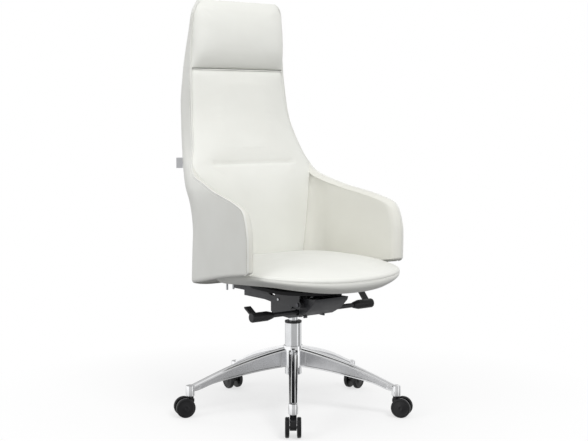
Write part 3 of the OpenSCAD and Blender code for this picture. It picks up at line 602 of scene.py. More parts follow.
def core_line(z, start_y):
    """Line behind an arm pad at height z, just inside the shell, with a point for each pad column."""
    x, y = shell_line(z, SKIN_T + 2.5, start_y, CORE_COLUMNS)
    x, y = x[:CORE_KEPT], y[:CORE_KEPT]
    reach = travelled(x, y)
    at = np.concatenate([np.linspace(0, CORE_FRONT, ROLL_STEPS, endpoint=False),
                         np.linspace(CORE_FRONT, max(reach[-1], CORE_FRONT + 1), PAD_COLUMNS + 1)])
    return np.interp(at, reach, x), np.interp(at, reach, y)


def arm_pad():
    """Front and hidden surfaces of the leather that wraps over an arm's edge and down its inner side."""
    inner_y, inner_z = inset_edge(ROLL_ARM)
    turn = np.pi * (ROLL_START + (1 - ROLL_START) * np.arange(ROLL_STEPS) / ROLL_STEPS)
    over, out = roll_curve(turn, ROLL_ARM, ROLL_ARM - 0.5)
    column = np.arange(ROLL_STEPS + PAD_COLUMNS + 1)
    fullness = np.sin(np.pi * np.clip((column - ROLL_STEPS) / PAD_COLUMNS, 0, 1))
    front, back = [], []
    for k, n in enumerate(edge_out):
        z, y0 = inner_z[k], inner_y[k]
        if y0 > along(CUSHION_SIDE, z) - 3 or z > SEAM_END_Z:
            break
        z = max(z, SHELL_LOW + 5)
        w = along(SHELL_HALF, edge_z[k]) + flare_at(edge_y[k])
        roll = np.stack([w - ROLL_ARM + over, y0 + n[0] * out, z + n[1] * out], 1)
        x, y = pad_line(z, y0)
        row = np.concatenate([roll, np.stack([x, y, np.full(len(x), z)], 1)])
        to_seam = np.hypot(row[:, 0] - x[-1], row[:, 1] - y[-1])
        fall = np.clip(1 - to_seam / SEAM_ROUND, 0, 1) ** 2 * (column > ROLL_STEPS)
        row[:, 0] += fall * SEAM_SINK * 0.4
        row[:, 1] += fall * SEAM_SINK
        row[:, 0] -= PAD_FULLNESS * fullness * float(smooth_step(SEAM_END_Z - z, 0, 60))
        row[:, 2] = raised(row[:, 2], row[:, 1])
        front.append(row)
        hidden_x, hidden_y = core_line(z, y0 + 2)
        under_roll = np.where(column < ROLL_STEPS, row[:, 2] - 0.5, np.inf)
        hidden_z = np.minimum(raised(z, hidden_y) - 0.5, under_roll)
        back.append(np.stack([hidden_x, hidden_y, hidden_z], 1))
    front = np.array(front)
    for p in front.reshape(-1, 3):
        p[0] -= 0.9 * rough(p, 90, 7.7) + 0.4 * rough(p, 28, 1.3)
    return front, np.array(back)


ARM_SIDES = (("right", -1), ("left", 1))
pad_front, pad_back = arm_pad()
for label, side in ARM_SIDES:
    # the arm insides take the darker leather copy: painted shade
    piece = mesh_object(f"{label}_arm_inside", *closed_sheet(pad_front, pad_back, side), [SHADED_ARM_LEATHER])
    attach(piece, "backrest")
    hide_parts(f"{label}_arm_pad")

# ---- Back cushion, with its lumbar crease ----
BACK_COLUMNS = 96
BACK_TOP_ROUND = 22  # radius of the cushion's upper edge, under the headrest
CLOSE_LOW, CLOSE_TOP = 690, 790  # heights between which the rows are closest, round the crease
CREASE_HALF, CREASE_DEPTH = 168, 8.5
CREASE_UP, CREASE_DOWN = 13.0, 4.0  # how far the fold reaches above and below its deepest line
LOW_ROLL = (4.0, 30, 42.0)  # the roll under the crease: height, distance from it, spread
HIGH_ROLL = (1.0, 44, 34.0)  # the fainter one over it
GATHER_X, GATHER_DEPTH = 150, 0.9  # small gathers that run out from the crease's two ends


def back_border(z):
    """Half-width and y of the back cushion's border at height z: the arm seam, then the shell's edge."""
    z = np.asarray(z, float)
    upper_x, upper_y = along(SHELL_HALF, z) - 1.6, along(SHELL_EDGE, z) + roll_radius(z) * 0.9
    lower_x = along(CUSHION_HALF, z)
    lower_y = along(CUSHION_SIDE, z) + SEAM_SINK
    share = smooth_step(z, SEAM_END_Z - 30, SEAM_END_Z + 40)
    return lower_x + (upper_x - lower_x) * share, lower_y + (upper_y - lower_y) * share


def back_point(u, z):
    """Front of the back cushion at u from -1 to 1 across and height z."""
    half, border_y = back_border(z)
    mid, side = along(CUSHION_MID, z), along(CUSHION_SIDE, z)
    t = abs(u)
    face = mid + (side - mid) * t ** 3
    x = half * u
    inward = half * (1 - t)
    edge_width = 15.0 + 11.0 * float(smooth_step(z, SEAM_END_Z, SEAM_END_Z + 110))
    lift = max(0.0, 1 - (1 - min(inward / edge_width, 1)) ** 2.3) ** 0.46
    y = border_y + (face - border_y) * lift
    top = CUSHION_TOP - z
    if top < BACK_TOP_ROUND:
        y += 8.0 * (1 - math.sqrt(max(0.0, 1 - (1 - top / BACK_TOP_ROUND) ** 2)))
    dz = z - LUMBAR_Z
    ends = float(smooth_step(CREASE_HALF - abs(x), 0, 30))
    fold = CREASE_DEPTH * math.exp(-(abs(dz) / (CREASE_UP if dz > 0 else CREASE_DOWN)) ** 1.2)
    height, distance, width = LOW_ROLL
    fold -= height * math.exp(-((dz + distance) / width) ** 2) * (1 if dz < 0 else math.exp(-(dz / 5) ** 2))
    if dz > 0:
        height, distance, width = HIGH_ROLL
        fold -= height * math.exp(-((dz - distance) / width) ** 2)
    y += ends * fold
    for end in (-1, 1):
        across, up = (x - end * GATHER_X) / 26.0, dz / 11.0
        y += GATHER_DEPTH * math.exp(-across ** 2 - up ** 2) * math.sin(across * 5.0 + up * 1.5)
    return x, float(y), z


back_z = np.concatenate([
    np.linspace(CUSHION_LOW, CLOSE_LOW, 70, endpoint=False),
    np.linspace(CLOSE_LOW, CLOSE_TOP, 66, endpoint=False),
    np.linspace(CLOSE_TOP, CUSHION_TOP - BACK_TOP_ROUND, 40, endpoint=False),
    CUSHION_TOP - BACK_TOP_ROUND * (1 - np.sin(np.linspace(0, np.pi / 2, 14)))])
spread = np.linspace(-1, 1, BACK_COLUMNS + 1)
back_u = np.sign(spread) * (1 - (1 - np.abs(spread)) ** 1.35)
back_front = np.array([[back_point(u, z) for u in back_u] for z in back_z])
for p in back_front.reshape(-1, 3):
    calm = float(np.clip((back_border(p[2])[0] - abs(p[0])) / 20, 0, 1))
    p[1] += calm * (0.9 * rough(p, 140, 5.5) + 0.3 * rough(p, 40, 2.2))
back_rear = back_front.copy()
for row in back_rear:
    z = row[0][2]
    r, w, c = along(SHELL_REAR, z), along(SHELL_HALF, z), along(SHELL_CORNER, z)
    deep = c - 9
    outside = np.clip(np.abs(row[:, 0]) - (w - c), 0, deep)
    row[:, 1] = np.maximum(row[:, 1] + 2, r - c + np.sqrt(deep ** 2 - outside ** 2))
back_cushion = mesh_object("back_cushion_leather", *closed_sheet(back_front, back_rear), [BACK_LEATHER])
fill_out(back_cushion, 5.0, lambda p: (p[:, 1] > along(CUSHION_SIDE, p[:, 2]) + 8)
         | (np.abs(p[:, 0]) > back_border(p[:, 2])[0] - 12) | (np.abs(p[:, 2] - LUMBAR_Z) < 5)
         | (p[:, 2] > CUSHION_TOP - 8))
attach(back_cushion, "backrest")
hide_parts("back_cushion", "shell_core")

# ---- End of each arm's rolled edge, where it runs up into the side of the back ----
END_LOW, END_TOP = 668, 770


def roll_end():
    """The roll of an arm's edge above the arm pad. It sinks into the back cushion as it rises."""
    turn = np.linspace(ROLL_START, 1.0, ROLL_STEPS + 1) * np.pi
    front, back = [], []
    for k, n in enumerate(edge_out):
        y, z = edge_y[k] - ROLL_ARM * n[0], edge_z[k] - ROLL_ARM * n[1]
        if not END_LOW < z < END_TOP or (back and z < back[-1][0][2] + 0.5):
            continue
        sink = (0.3 + float(1 - smooth_step(z, 678, 704))
                + 5.0 * float(smooth_step(z, SEAM_END_Z + 2, END_TOP)) ** 1.3)
        middle = float(along(SHELL_HALF, edge_z[k]) + flare_at(edge_y[k])) - 0.6 * sink - ROLL_ARM
        over, out = roll_curve(turn, ROLL_ARM - 0.4, ROLL_ARM - sink)
        front.append(np.stack([middle + over, y + n[0] * out, z + n[1] * out], 1))
        back.append(np.stack([middle + over * 0.75, np.full(len(turn), y + 9), np.full(len(turn), z)], 1))
    return np.array(front), np.array(back)


end_front, end_back = roll_end()
for label, side in ARM_SIDES:
    # the roll ends take the darker leather copy: painted shade
    piece = mesh_object(f"{label}_roll_end", *closed_sheet(end_front, end_back, side), [SHADED_ARM_LEATHER])
    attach(piece, "backrest")

# ---- Headrest ----
HEAD_ROWS, HEAD_COLUMNS = 84, 96
HEAD_SIDE = 3.5  # gap between the headrest's border and the shell's outline
SIDE_ROUND, LOW_ROUND, HIGH_ROUND = 42.0, 62.0, 30.0  # width of its rounding at each border


def bulge(distance, width, power):
    """Rise from 0 at a border to 1 at a width from it, steepest at the border."""
    return math.sqrt(max(0.0, 1 - (1 - min(distance / width, 1)) ** power))


def headrest_point(u, v, rear=False):
    """Headrest at u from -1 to 1 across and v from 0 to 1 up. v is the height's share."""
    z = HEADREST_LOW + (HEADREST_TOP - HEADREST_LOW) * v
    half = float(along(SHELL_HALF, z)) - HEAD_SIDE
    edge = float(along(SHELL_EDGE, z)) + 2.0
    rear_y = float(along(SHELL_REAR, z)) - 9
    if rear:
        outside = max(0.0, abs(u * half) - (half - 14)) / 14
        return u * half, max(edge + 3, rear_y - 14 * (1 - math.sqrt(max(0, 1 - min(outside, 1) ** 2)))), z
    mid = float(along(HEADREST_MID, z))
    t = abs(u)
    fullness = bulge(half * (1 - t), SIDE_ROUND, 2.4) * bulge(z - HEADREST_LOW, LOW_ROUND, 2.6)
    top_lift = bulge(HEADREST_TOP - z, HIGH_ROUND, 2.0)
    face = mid + 1.0 - 4.0 * math.sin(math.pi * v) + 8.0 * t ** 4
    half -= 4.0 * (1 - top_lift)  # rounded upper corners, inside the shell's
    y = edge + (face - edge) * fullness
    y = y + (rear_y - 9 - y) * (1 - top_lift) * 0.9
    return u * half, y, z


head_v = 0.5 - 0.5 * np.cos(np.pi * np.linspace(0, 1, HEAD_ROWS) ** 0.95)
head_v = (head_v - head_v[0]) / (head_v[-1] - head_v[0])
head_u = np.sin(np.linspace(-np.pi / 2, np.pi / 2, HEAD_COLUMNS + 1))
head_front = np.array([[headrest_point(u, v) for u in head_u] for v in head_v])
for p in head_front.reshape(-1, 3):
    calm = float(np.clip((170 - abs(p[0])) / 25, 0, 1))
    p[1] += calm * (1.0 * rough(p, 110, 9.1) + 0.4 * rough(p, 35, 4.2))
head_rear = np.array([[headrest_point(u, v, True) for u in head_u] for v in head_v])
headrest = mesh_object("headrest_leather", *closed_sheet(head_front, head_rear), [BACK_LEATHER])
fill_out(headrest, 7.0, lambda p: (p[:, 1] > 278) | (np.abs(p[:, 0]) > along(SHELL_HALF, p[:, 2]) - 12))
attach(headrest, "backrest")
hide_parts("headrest_cushion")


# ---- Piping and stitching of the shell ----
PIPE_R, PIPE_R_BACK = 2.1, 1.3  # radius on the arms, and beside the back and headrest
PIPE_SPACING = 6.0
PIPE_TOP_Z = SHELL_TOP + 2.4

pipe_y, pipe_z = edge_y - PIPE_INSET * edge_out[:, 0], edge_z - PIPE_INSET * edge_out[:, 1]
pipe_x = along(SHELL_HALF, edge_z) + flare_at(edge_y) - 0.6
half_pipe = np.stack([pipe_x, pipe_y, raised(pipe_z, pipe_y)], 1)
w_top, c_top, r_top = (float(along(t, SHELL_TOP)) for t in (SHELL_HALF, SHELL_CORNER, SHELL_REAR))
round_top = [(w_top - c_top + (c_top - 3) * math.cos(a), r_top - c_top + (c_top - 4.5) * math.sin(a),
              PIPE_TOP_Z) for a in np.linspace(0.1, np.pi / 2, 10)]
across_top = [((w_top - c_top) * (1 - share), r_top - 4.5, PIPE_TOP_Z)
              for share in np.linspace(0, 1, 34)[1:]]
half_line = np.concatenate([half_pipe[:-2], round_top, across_top])
whole_line = np.concatenate([half_line, half_line[-2::-1] * [-1, 1, 1]])
pipe_path = evenly(whole_line, PIPE_SPACING)
pipe_radii = ((PIPE_R + (PIPE_R_BACK - PIPE_R) * smooth_step(pipe_path[:, 2], 700, 780))
              * (1 + 0.07 * np.array([rough(p, 16, 0.7) for p in pipe_path])))
piping = mesh_object("shell_piping", *tube(pipe_path, pipe_radii), [PIPING_LEATHER])
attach(piping, "backrest")

seam_points = []
for u in np.linspace(-1, 1, 90):
    x, y, _ = back_point(u * 0.995, CUSHION_TOP - 5)
    seam_points.append((x, y - 0.3, CUSHION_TOP - 1.0))
seam_path = evenly(seam_points, PIPE_SPACING)
seam_piping = mesh_object("headrest_seam_piping", *tube(seam_path, 2.0), [PIPING_LEATHER])
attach(seam_piping, "backrest")

EDGE_STITCH_TOP = 1196
y, z = inset_edge(PIPE_INSET + 6)
stitched = z < EDGE_STITCH_TOP
y, z = y[stitched], z[stitched]
edge_line = np.stack([along(SHELL_HALF, z) + flare_at(y) + 0.15, y, raised(z, y)], 1)
for label, side in ARM_SIDES:
    outward = np.tile([side, 0.0, 0.0], (len(edge_line), 1))
    piece = stitches(f"{label}_edge_stitching", edge_line * [side, 1, 1], outward, THREAD)
    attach(piece, "backrest")

seam_rows = (back_z > CUSHION_LOW + 20) & (back_z < 700)
leather_points = np.array([v.co for v in back_cushion.data.vertices]) / MM
for label, side in ARM_SIDES:
    column = -5 if side > 0 else 4
    path = np.array([leather_points[np.argmin(np.sum((leather_points - q) ** 2, axis=1))]
                     for q in back_front[seam_rows, column]])
    outward = np.tile([side * 0.45, -0.9, 0], (len(path), 1))
    piece = stitches(f"{label}_back_seam_stitching", path, outward, THREAD)
    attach(piece, "backrest")

# ---- Seat cushion ----
SEAT_STEPS = 240
CROWN_SPARE = 3.0  # the crown starts this much lower, because the filling lifts it
TAPER, TAPER_Y = 0.1, -168  # the seat narrows by this share of the way behind this y
FRONT_POWER, REAR_POWER = 2.6, 5  # powers of the outline: a round front and a squarer rear
RISE_START = -172  # from here to SEAT_RISE_END the lower edge rises at the sides
SEAM_RISE, SEAM_SLOPE, SEAM_Y = SEAT_RISE - 16, 0.04, -100  # its rise at the sides, and behind this y
CROWN_FALL, FRONT_Y = 22, -60  # how far the crown falls to the sides, and in front of this y
REAR_FALL, REAR_Y = 0.06, 20  # slope of the crown behind this y


def seat_half_at(y):
    return SEAT_HALF_W - TAPER * max(0.0, y - TAPER_Y)


def seat_outline(a, inset):
    s, c = math.sin(a), math.cos(a)
    n = FRONT_POWER if s < 0 else REAR_POWER
    reach = (SEAT_FRONT + SEAT_MID_Y if s < 0 else SEAT_REAR - SEAT_MID_Y) - inset
    y = SEAT_MID_Y + math.copysign(reach * abs(s) ** (2 / n), s)
    return math.copysign((seat_half_at(y) - inset) * abs(c) ** (2 / n), c), y


def seat_low_at(x, y):
    level = min(1.0, max(0.0, (SEAT_RISE_END - y) / (SEAT_RISE_END - RISE_START)))
    return SEAT_LOW + SEAT_RISE * (x / SEAT_HALF_W) ** 2 * level


def seat_seam_at(x, y):
    return (SEAT_LOW + SEAT_SEAM_H + SEAM_RISE * (x / SEAT_HALF_W) ** 2
            + SEAM_SLOPE * max(0, y - SEAM_Y))


def seat_crown_at(x, y):
    return (SEAT_TOP - CROWN_SPARE - CROWN_FALL * (abs(x) / SEAT_HALF_W) ** 4 - REAR_FALL * max(0, y - REAR_Y)
            - CROWN_FALL * (max(0, FRONT_Y - y) / (SEAT_FRONT + FRONT_Y)) ** 2)


def seat_angles():
    """Angles that space the outline's points evenly."""
    fine = np.linspace(0, 2 * np.pi, 4001)
    reach = travelled(*np.array([seat_outline(a, 0) for a in fine]).T)
    return np.interp(np.linspace(0, reach[-1], SEAT_STEPS + 1)[:-1], reach, fine)


SEAT_ANGLES = seat_angles()
SEAT_EDGE = [seat_outline(a, 0) for a in SEAT_ANGLES]
CROWN_REACH = 100.0  # distance from the seam at which the crown is reached
CROWN_START = {1.2: 0.05, 0.4: 0.16, 0.6: 0.27}  # rise of the first rings, by their inset


def seat_ring(inset, height):
    """Ring of seat points. height(edge, point, angle index) gives z."""
    points = [seat_outline(a, inset) for a in SEAT_ANGLES]
    return [(*point, height(edge, point, i)) for i, (edge, point) in enumerate(zip(SEAT_EDGE, points))]


pucker = [rough((math.cos(a) * 260, math.sin(a) * 260, 0), 17, 6.3) for a in SEAT_ANGLES]
seat_rings = []
for inset in (96, 74, 56, 42, 32, 25):  # underside, level across the middle
    seat_rings.append(seat_ring(inset, lambda e, p, i, s=inset: seat_low_at(*p)
                                + 1.2 * max(0, 1 - (s - 25) / 20)))
BAND_TUCK = 21.0  # depth to which the side band curls under
for share in (0.04, 0.10, 0.18, 0.28, 0.39, 0.5, 0.61, 0.72, 0.82, 0.90, 0.96):
    tuck = BAND_TUCK * (1 - share) ** 2.2 - 1.2 * math.sin(math.pi * share)
    seat_rings.append(seat_ring(tuck, lambda e, p, i, s=share: seat_low_at(*e) + 2
                                + s * (seat_seam_at(*e) - seat_low_at(*e) - 2)))
seat_rings.append(seat_ring(3.0, lambda e, p, i: seat_seam_at(*e)))
for inset in (1.2, 0.4, 0.6, 1.8, 4, 7, 11, 16, 22, 29, 37, 46, 56, 67, 80, 94):
    u = min(1, (inset + 3 * (inset > 0.5)) / CROWN_REACH)
    rise = CROWN_START.get(inset, (1 - (1 - u) ** 2.5) ** 0.4545)

    def height(e, p, i, rise=rise, inset=inset):
        low, crown = seat_seam_at(*e), seat_crown_at(*p)
        return low + rise * (crown - low) + 0.5 * pucker[i] * math.exp(-inset / 14)
    seat_rings.append(seat_ring(inset, height))
border = seat_rings[-1]
for share in np.linspace(0, 1, 22)[1:-1]:
    ring = []
    for x, y, _ in border:
        px, py = x * (1 - share), SEAT_MID_Y + (y - SEAT_MID_Y) * (1 - share)
        ring.append((px, py, seat_crown_at(px, py) + 2.0 * share * (2 - share)))
    seat_rings.append(ring)
seat_points = np.array(seat_rings, float).reshape(-1, 3)
for p in seat_points:
    if p[2] > 430:
        p[2] += 1.0 * rough(p, 130, 8.8) + 0.35 * rough(p, 38, 3.3)
ring_total = len(seat_rings)
seat_faces = grid_faces(ring_total, SEAT_STEPS, wrap=True)
seat_points = np.concatenate([seat_points, [[0, SEAT_MID_Y, SEAT_LOW], [0, SEAT_MID_Y, SEAT_TOP + 1.5]]])
low_centre, top_centre = len(seat_points) - 2, len(seat_points) - 1
last_ring = (ring_total - 1) * SEAT_STEPS
for i in range(SEAT_STEPS):
    j = (i + 1) % SEAT_STEPS
    seat_faces += [(j, i, low_centre), (last_ring + i, last_ring + j, top_centre)]
seat = mesh_object("seat_cushion_leather", seat_points, seat_faces, [SEAT_LEATHER])
fill_out(seat, 6.0, lambda p: p[:, 2] < SEAT_LOW + SEAT_RISE + SEAT_SEAM_H)
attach(seat, "seat")
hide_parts("seat_cushion")

SEAM_RING = 23  # the ring of seat points just above the seam
ring_at = seat_points[SEAM_RING * SEAT_STEPS:(SEAM_RING + 1) * SEAT_STEPS]
across_ring = (seat_points[(SEAM_RING + 1) * SEAT_STEPS:(SEAM_RING + 2) * SEAT_STEPS]
               - seat_points[(SEAM_RING - 1) * SEAT_STEPS:SEAM_RING * SEAT_STEPS])
ring_normal = np.cross(np.roll(ring_at, -1, 0) - np.roll(ring_at, 1, 0), across_ring)
ring_normal *= np.sign(ring_normal[:, 2])[:, None]
seat_thread = stitches("seat_stitching", ring_at, ring_normal, THREAD, closed=True)
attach(seat_thread, "seat")

seat_pipe_path = evenly(seat_ring(1.2, lambda e, p, i: seat_seam_at(*e)), 6.0, closed=True)
seat_pipe = mesh_object("seat_piping", *tube(seat_pipe_path, 1.5, closed=True), [PIPING_LEATHER])
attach(seat_pipe, "seat")

# ---- Five-star base ----
STEM_CIRCLE, BASE_TURN = 320, -37.6
HUB_R, HUB_LOW, HUB_TOP = 30, 129, 195
BOSS_R, BOSS_LOW, BOSS_TOP = 13.5, 62, 93
LEG_TOP = [[0, 191], [30, 189], [100, 173], [190, 146], [260, 118], [320, 92]]
LEG_LOW = [[0, 131], [30, 131], [110, 122], [190, 108], [250, 95], [295, 79], [320, 74]]
LEG_HUB_W, LEG_END_W, RIDGE_W = 29, 22, 10

RECESS_FACE = 9  # the brushed face of a half-section, counted from its top
BASE_TURNS = [math.radians(BASE_TURN - 90 + 72 * i) for i in range(5)]


def leg_section(r):
    """Points of a leg's cross-section at distance r."""
    top, low = float(along(LEG_TOP, r)), float(along(LEG_LOW, r))
    half = (LEG_HUB_W + (LEG_END_W - LEG_HUB_W) * r / STEM_CIRCLE) / 2
    recess = 1.7 * float(smooth_step(r, 40, 45) * (1 - smooth_step(r, 288, 296)))
    ridge = RIDGE_W / 2
    shoulder = top - 5.2
    foot = min(low + 4.5, shoulder - 6)
    right = [(ridge - 1.6, top), (ridge - 0.5, top - 0.4), (ridge, top - 1.6), (ridge + 0.3, shoulder + 1.2),
             (ridge + 1.4, shoulder + 0.1), (half - 2.0, shoulder - 0.5), (half - 0.6, shoulder - 1.0),
             (half, shoulder - 2.4), (half, shoulder - 4.4), (half - recess, shoulder - 5.4),
             (half - recess, foot + 1.2), (half, foot + 0.2), (half, low + 1.8), (half - 0.5, low + 0.5),
             (half - 1.8, low)]
    return right + [(-y, z) for y, z in right[::-1]]


def leg_mesh(turn):
    """Points and faces of a leg, and which of its two materials each face has."""
    stations = np.concatenate([np.linspace(8, 38, 6), [40, 41.5, 43.5, 45.5], np.linspace(50, 285, 44),
                               [288, 290.5, 293, 296], np.linspace(300, 318, 5)])
    sections = [leg_section(r) for r in stations]
    n = len(sections[0])
    c, s = math.cos(turn), math.sin(turn)
    points = [(r * c - y * s, r * s + y * c, z) for r, line in zip(stations, sections) for y, z in line]
    faces = grid_faces(len(stations), n, wrap=True)
    marks = [int(i % n in (RECESS_FACE, n - 2 - RECESS_FACE)) for i in range(len(faces))] + [0, 0]
    faces += [tuple(range(n)), tuple(range(len(points) - n, len(points)))[::-1]]
    return points, faces, marks


hub_profile = [(25.3, HUB_LOW), (HUB_R - 1.2, HUB_LOW), (HUB_R, HUB_LOW + 1.2), (HUB_R, HUB_TOP - 2.4),
               (HUB_R - 0.7, HUB_TOP - 0.7), (HUB_R - 2.4, HUB_TOP), (25.3, HUB_TOP)]
boss_profile = [(0, BOSS_LOW), (BOSS_R - 1, BOSS_LOW), (BOSS_R, BOSS_LOW + 1), (BOSS_R, BOSS_TOP - 3.2),
                (BOSS_R - 0.9, BOSS_TOP - 1), (BOSS_R - 3.2, BOSS_TOP), (0, BOSS_TOP)]
base_metals = [POLISHED, BRUSHED]
leg_objects = []
for k, turn in enumerate(BASE_TURNS):
    points, faces, marks = leg_mesh(turn)
    leg_objects.append(mesh_object(f"leg_{k}", points, faces, base_metals, face_material=marks))
leg_objects.append(mesh_object("hub", *lathe(hub_profile, 96), base_metals))
boss_points, boss_faces = lathe(boss_profile, 48)
for k, turn in enumerate(BASE_TURNS):
    at_stem = np.array([STEM_CIRCLE * math.cos(turn), STEM_CIRCLE * math.sin(turn), 0])
    leg_objects.append(mesh_object(f"boss_{k}", boss_points + at_stem, boss_faces, base_metals))
with bpy.context.temp_override(active_object=leg_objects[0], selected_editable_objects=leg_objects,
                               selected_objects=leg_objects):
    bpy.ops.object.join()
base_piece = leg_objects[0]
base_piece.name = "star_base_casting"
base_piece.data.name = "star_base_casting"
base_piece.data.set_sharp_from_angle(angle=math.radians(38))
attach(base_piece, "base")
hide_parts("five_star_base")


# ---- Casters ----
WHEEL_R, TRAIL, HALF_W, GAP_HALF, AXLE_R = 29.0, 17.5, 22.6, 10.2, 4.0
WHEEL_W = HALF_W - GAP_HALF
# Turned [radius, distance along the axle] profile: a grooved tread, a rounded rim, a flat disc
WHEEL_PROFILE = [
    (AXLE_R + 0.1, 0), (22, 0), (24.5, 0.2), (WHEEL_R - 1.6, 0.7), (WHEEL_R - 0.4, 1.7), (WHEEL_R, 3.0),
    (WHEEL_R, 5.6), (WHEEL_R - 0.5, 5.9), (WHEEL_R - 0.5, 6.5), (WHEEL_R, 6.8), (WHEEL_R, 9.0),
    (WHEEL_R - 0.5, 10.6), (WHEEL_R - 1.8, 11.8), (WHEEL_R - 3.4, WHEEL_W), (WHEEL_R - 5.2, WHEEL_W),
    (WHEEL_R - 6.0, WHEEL_W - 0.7), (WHEEL_R - 6.6, WHEEL_W - 1.2), (10.4, WHEEL_W - 1.0),
    (9.2, WHEEL_W - 0.6), (8.2, WHEEL_W), (2.6, WHEEL_W), (2.0, WHEEL_W - 0.5), (0.0, WHEEL_W - 0.5),
    (0.0, WHEEL_W - 2.4), (AXLE_R + 0.1, WHEEL_W - 2.4)]

wheel_points, wheel_faces = lathe(WHEEL_PROFILE, 72)
for i, turn in enumerate(BASE_TURNS):
    out = np.array([math.cos(turn), math.sin(turn), 0])
    axle = np.array([math.sin(turn), -math.cos(turn), 0])
    centre = out * (STEM_CIRCLE + TRAIL) + np.array([0, 0, WHEEL_R])
    for letter, side in (("a", 1), ("b", -1)):
        placed = (centre + np.outer(wheel_points[:, 0], out) + np.outer(wheel_points[:, 1], [0, 0, 1])
                  + np.outer((wheel_points[:, 2] + GAP_HALF) * side, axle))
        piece = mesh_object(f"caster_wheel_{i + 1}{letter}", placed, wheel_faces, [TYRE])
        piece.data.set_sharp_from_angle(angle=math.radians(40))
        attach(piece, f"wheel_body_{i + 1}{letter}")
        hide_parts(f"wheel_{i + 1}{letter}")


# ---- Carried-over CAD nodes: finer edges and real materials ----
def refine(node, material, bevel_mm):
    """Softens a CAD node's edges with modifiers and gives it its material. Its mesh isn't touched."""
    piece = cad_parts[node]
    piece.data.materials.clear()
    piece.data.materials.append(material)
    if not bevel_mm:
        return
    piece.data.polygons.foreach_set("use_smooth", [True] * len(piece.data.polygons))
    piece.modifiers.new("weld", "WELD").merge_threshold = 1e-5
    flat = piece.modifiers.new("flat", "DECIMATE")
    flat.decimate_type = "DISSOLVE"
    flat.angle_limit = math.radians(1.0)
    bevel = piece.modifiers.new("bevel", "BEVEL")
    bevel.width = bevel_mm * MM
    bevel.limit_method = "ANGLE"
    bevel.angle_limit = math.radians(32)
    bevel.segments = 3
    weighted = piece.modifiers.new("weighted", "WEIGHTED_NORMAL")
    weighted.mode = "FACE_AREA"
    weighted.weight = 60


FINISH = (
    (ACETAL, 0, "stem_sockets", "column_guide_bush", "cylinder_gland", "pivot_spacers"),
    (ACETAL, 0.8, "column_cap_ring"),
    (ZINC, 0, "thrust_bearing", "piston_rod", "piston_head", "rod_clip", "tilt_springs", "height_lever_pin",
     "valve_button", "tilt_lock_cam", "seat_bolts", *(f"caster_axle_{i}" for i in range(1, 6))),
    (ZINC, 0.3, "link_pins"),
    (ZINC, 0.4, "caster_stems", "fork_bolts"),
    (CHROME, 0.6, "gas_cylinder"),
    (CHROME, 0.8, "column_outer_tube"),
    (BLACKENED, 0.5, "main_pivot_pin", "seat_pivot_pin"),
    (PAINT, 0.6, "seat_plate"),
    (PAINT, 0.9, "back_fork"),
    (PAINT, 1.2, "mechanism_housing"),
    (LEVER_PAINT, 0.5, "tilt_lock_shaft"),
    (LEVER_PAINT, 0.6, "height_lever"),
    (NYLON, 0.9, "height_lever_paddle", "tilt_lock_paddle"),
    (TAG, 0.4, "side_tag"),
    (DUST_COVER, 0.8, "seat_pan"),
    (CASTER, 1.4, *(f"caster_body_{i}" for i in range(1, 6))),
)
for material, bevel_mm, *nodes in FINISH:
    for node in nodes:
        refine(node, material, bevel_mm)

# ---- Floor and light ----
scene.view_settings.view_transform = "Standard"
scene.view_settings.look = "None"

floor_mesh = bpy.data.meshes.new("floor")
maker = bmesh.new()
bmesh.ops.create_circle(maker, cap_ends=True, radius=14, segments=96)
maker.to_mesh(floor_mesh)
maker.free()
floor = bpy.data.objects.new("floor", floor_mesh)
scene.collection.objects.link(floor)
floor_material, tree, shader = new_material("floor_paper")
feed(tree, shader, {"Base Color": (0.90, 0.90, 0.90, 1), "Roughness": 0.7, "Specular IOR Level": 0.2})
glow = add(tree, "ShaderNodeEmission", {"Color": (1, 1, 1, 1), "Strength": 1.0})
distance = add(tree, "ShaderNodeVectorMath", {0: place(tree)}, operation="LENGTH").outputs["Value"]
glowing = mixed_shader(tree, mapped(tree, distance, 0.6, 1.0, 0.2, 1.1), shader.outputs["BSDF"],
                       glow.outputs["Emission"])
feed(tree, tree.nodes["Material Output"], {"Surface": glowing})
floor.data.materials.append(floor_material)
floor.visible_diffuse = False  # the floor throws no light back up, so undersides stay dark
floor.visible_glossy = False

world = bpy.data.worlds.new("studio")
scene.world = world
world.use_nodes = True
tree = world.node_tree
direction = add(tree, "ShaderNodeTexCoord").outputs["Generated"]
split = add(tree, "ShaderNodeSeparateXYZ", {"Vector": direction})


def ramp(tree, value, stops):
    """Grey ramp over 0 to 1, from (position, value) stops."""
    node = add(tree, "ShaderNodeValToRGB")
    elements = node.color_ramp.elements
    while len(elements) < len(stops):
        elements.new(0.5)
    for element, (position, grey) in zip(elements, stops):
        element.position = position
        element.color = (grey, grey, grey, 1)
    tree.links.new(value, node.inputs["Fac"])
    return node.outputs["Color"]


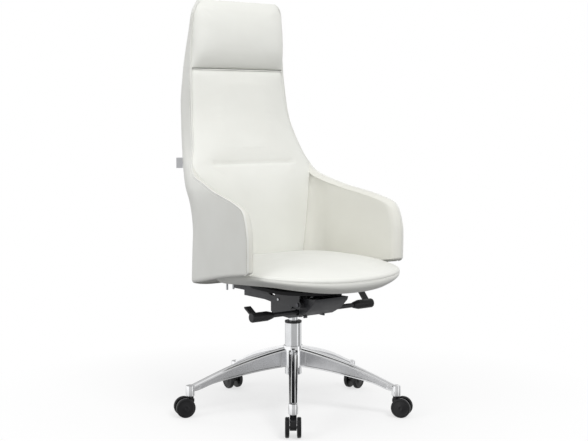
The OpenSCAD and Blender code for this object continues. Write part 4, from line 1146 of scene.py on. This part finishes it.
# Brightness by elevation, times brightness by direction round the set: panels and gaps between them
elevation = mapped(tree, split.outputs["Z"], 0, 1, -1, 1)
height = ramp(tree, elevation, [(0.0, 0.18), (0.30, 0.30), (0.50, 0.60), (0.60, 0.62), (0.80, 0.58),
                                (1.0, 0.60)])
gloss_height = ramp(tree, elevation, [(0.0, 0.55), (0.40, 0.75), (0.50, 1.0), (0.62, 1.0), (0.80, 0.85),
                                      (1.0, 0.80)])
around = add(tree, "ShaderNodeMath", {0: split.outputs["Y"], 1: split.outputs["X"]}, operation="ARCTAN2")
panels = ramp(tree, mapped(tree, around.outputs["Value"], 0, 1, -math.pi, math.pi),
              [(0.0, 1.25), (0.055, 1.25), (0.075, 0.66), (0.29, 0.66), (0.305, 1.35), (0.345, 1.35),
               (0.36, 0.35), (0.42, 0.35), (0.44, 1.0), (0.62, 1.0), (0.64, 0.55), (0.72, 0.55),
               (0.74, 1.15), (1.0, 1.25)])
sky = feed(tree, tree.nodes["Background"], {"Color": height, "Strength": 1.0})
mirrored = mixed(tree, 1.0, gloss_height, panels, "MULTIPLY")
studio = add(tree, "ShaderNodeBackground", {"Color": mirrored, "Strength": 0.92})
plain = add(tree, "ShaderNodeBackground", {"Color": (1, 1, 1, 1), "Strength": 1.0})
rays = add(tree, "ShaderNodeLightPath").outputs
lit = mixed_shader(tree, rays["Is Glossy Ray"], sky.outputs["Background"], studio.outputs["Background"])
seen = mixed_shader(tree, rays["Is Camera Ray"], lit, plain.outputs["Background"])
feed(tree, tree.nodes["World Output"], {"Surface": seen})


def soft_box(name, at, towards, size, power):
    light = bpy.data.lights.new(name, "AREA")
    light.shape = "RECTANGLE"
    light.size, light.size_y = size
    light.energy = power
    lamp = bpy.data.objects.new(name, light)
    lamp.location = at
    lamp.rotation_mode = "QUATERNION"
    lamp.rotation_quaternion = (Vector(towards) - Vector(at)).to_track_quat("-Z", "Y")
    lamp.visible_camera = False
    lamp.visible_glossy = False
    scene.collection.objects.link(lamp)


soft_box("key", (-0.4, -2.7, 3.2), (0, 0.1, 0.75), (1.6, 1.2), 76)
soft_box("left", (-3.2, 0.2, 2.2), (0, 0, 0.7), (1.4, 1.4), 28)
soft_box("back", (0.4, 3.0, 2.6), (0, 0, 0.8), (2.4, 1.6), 18)
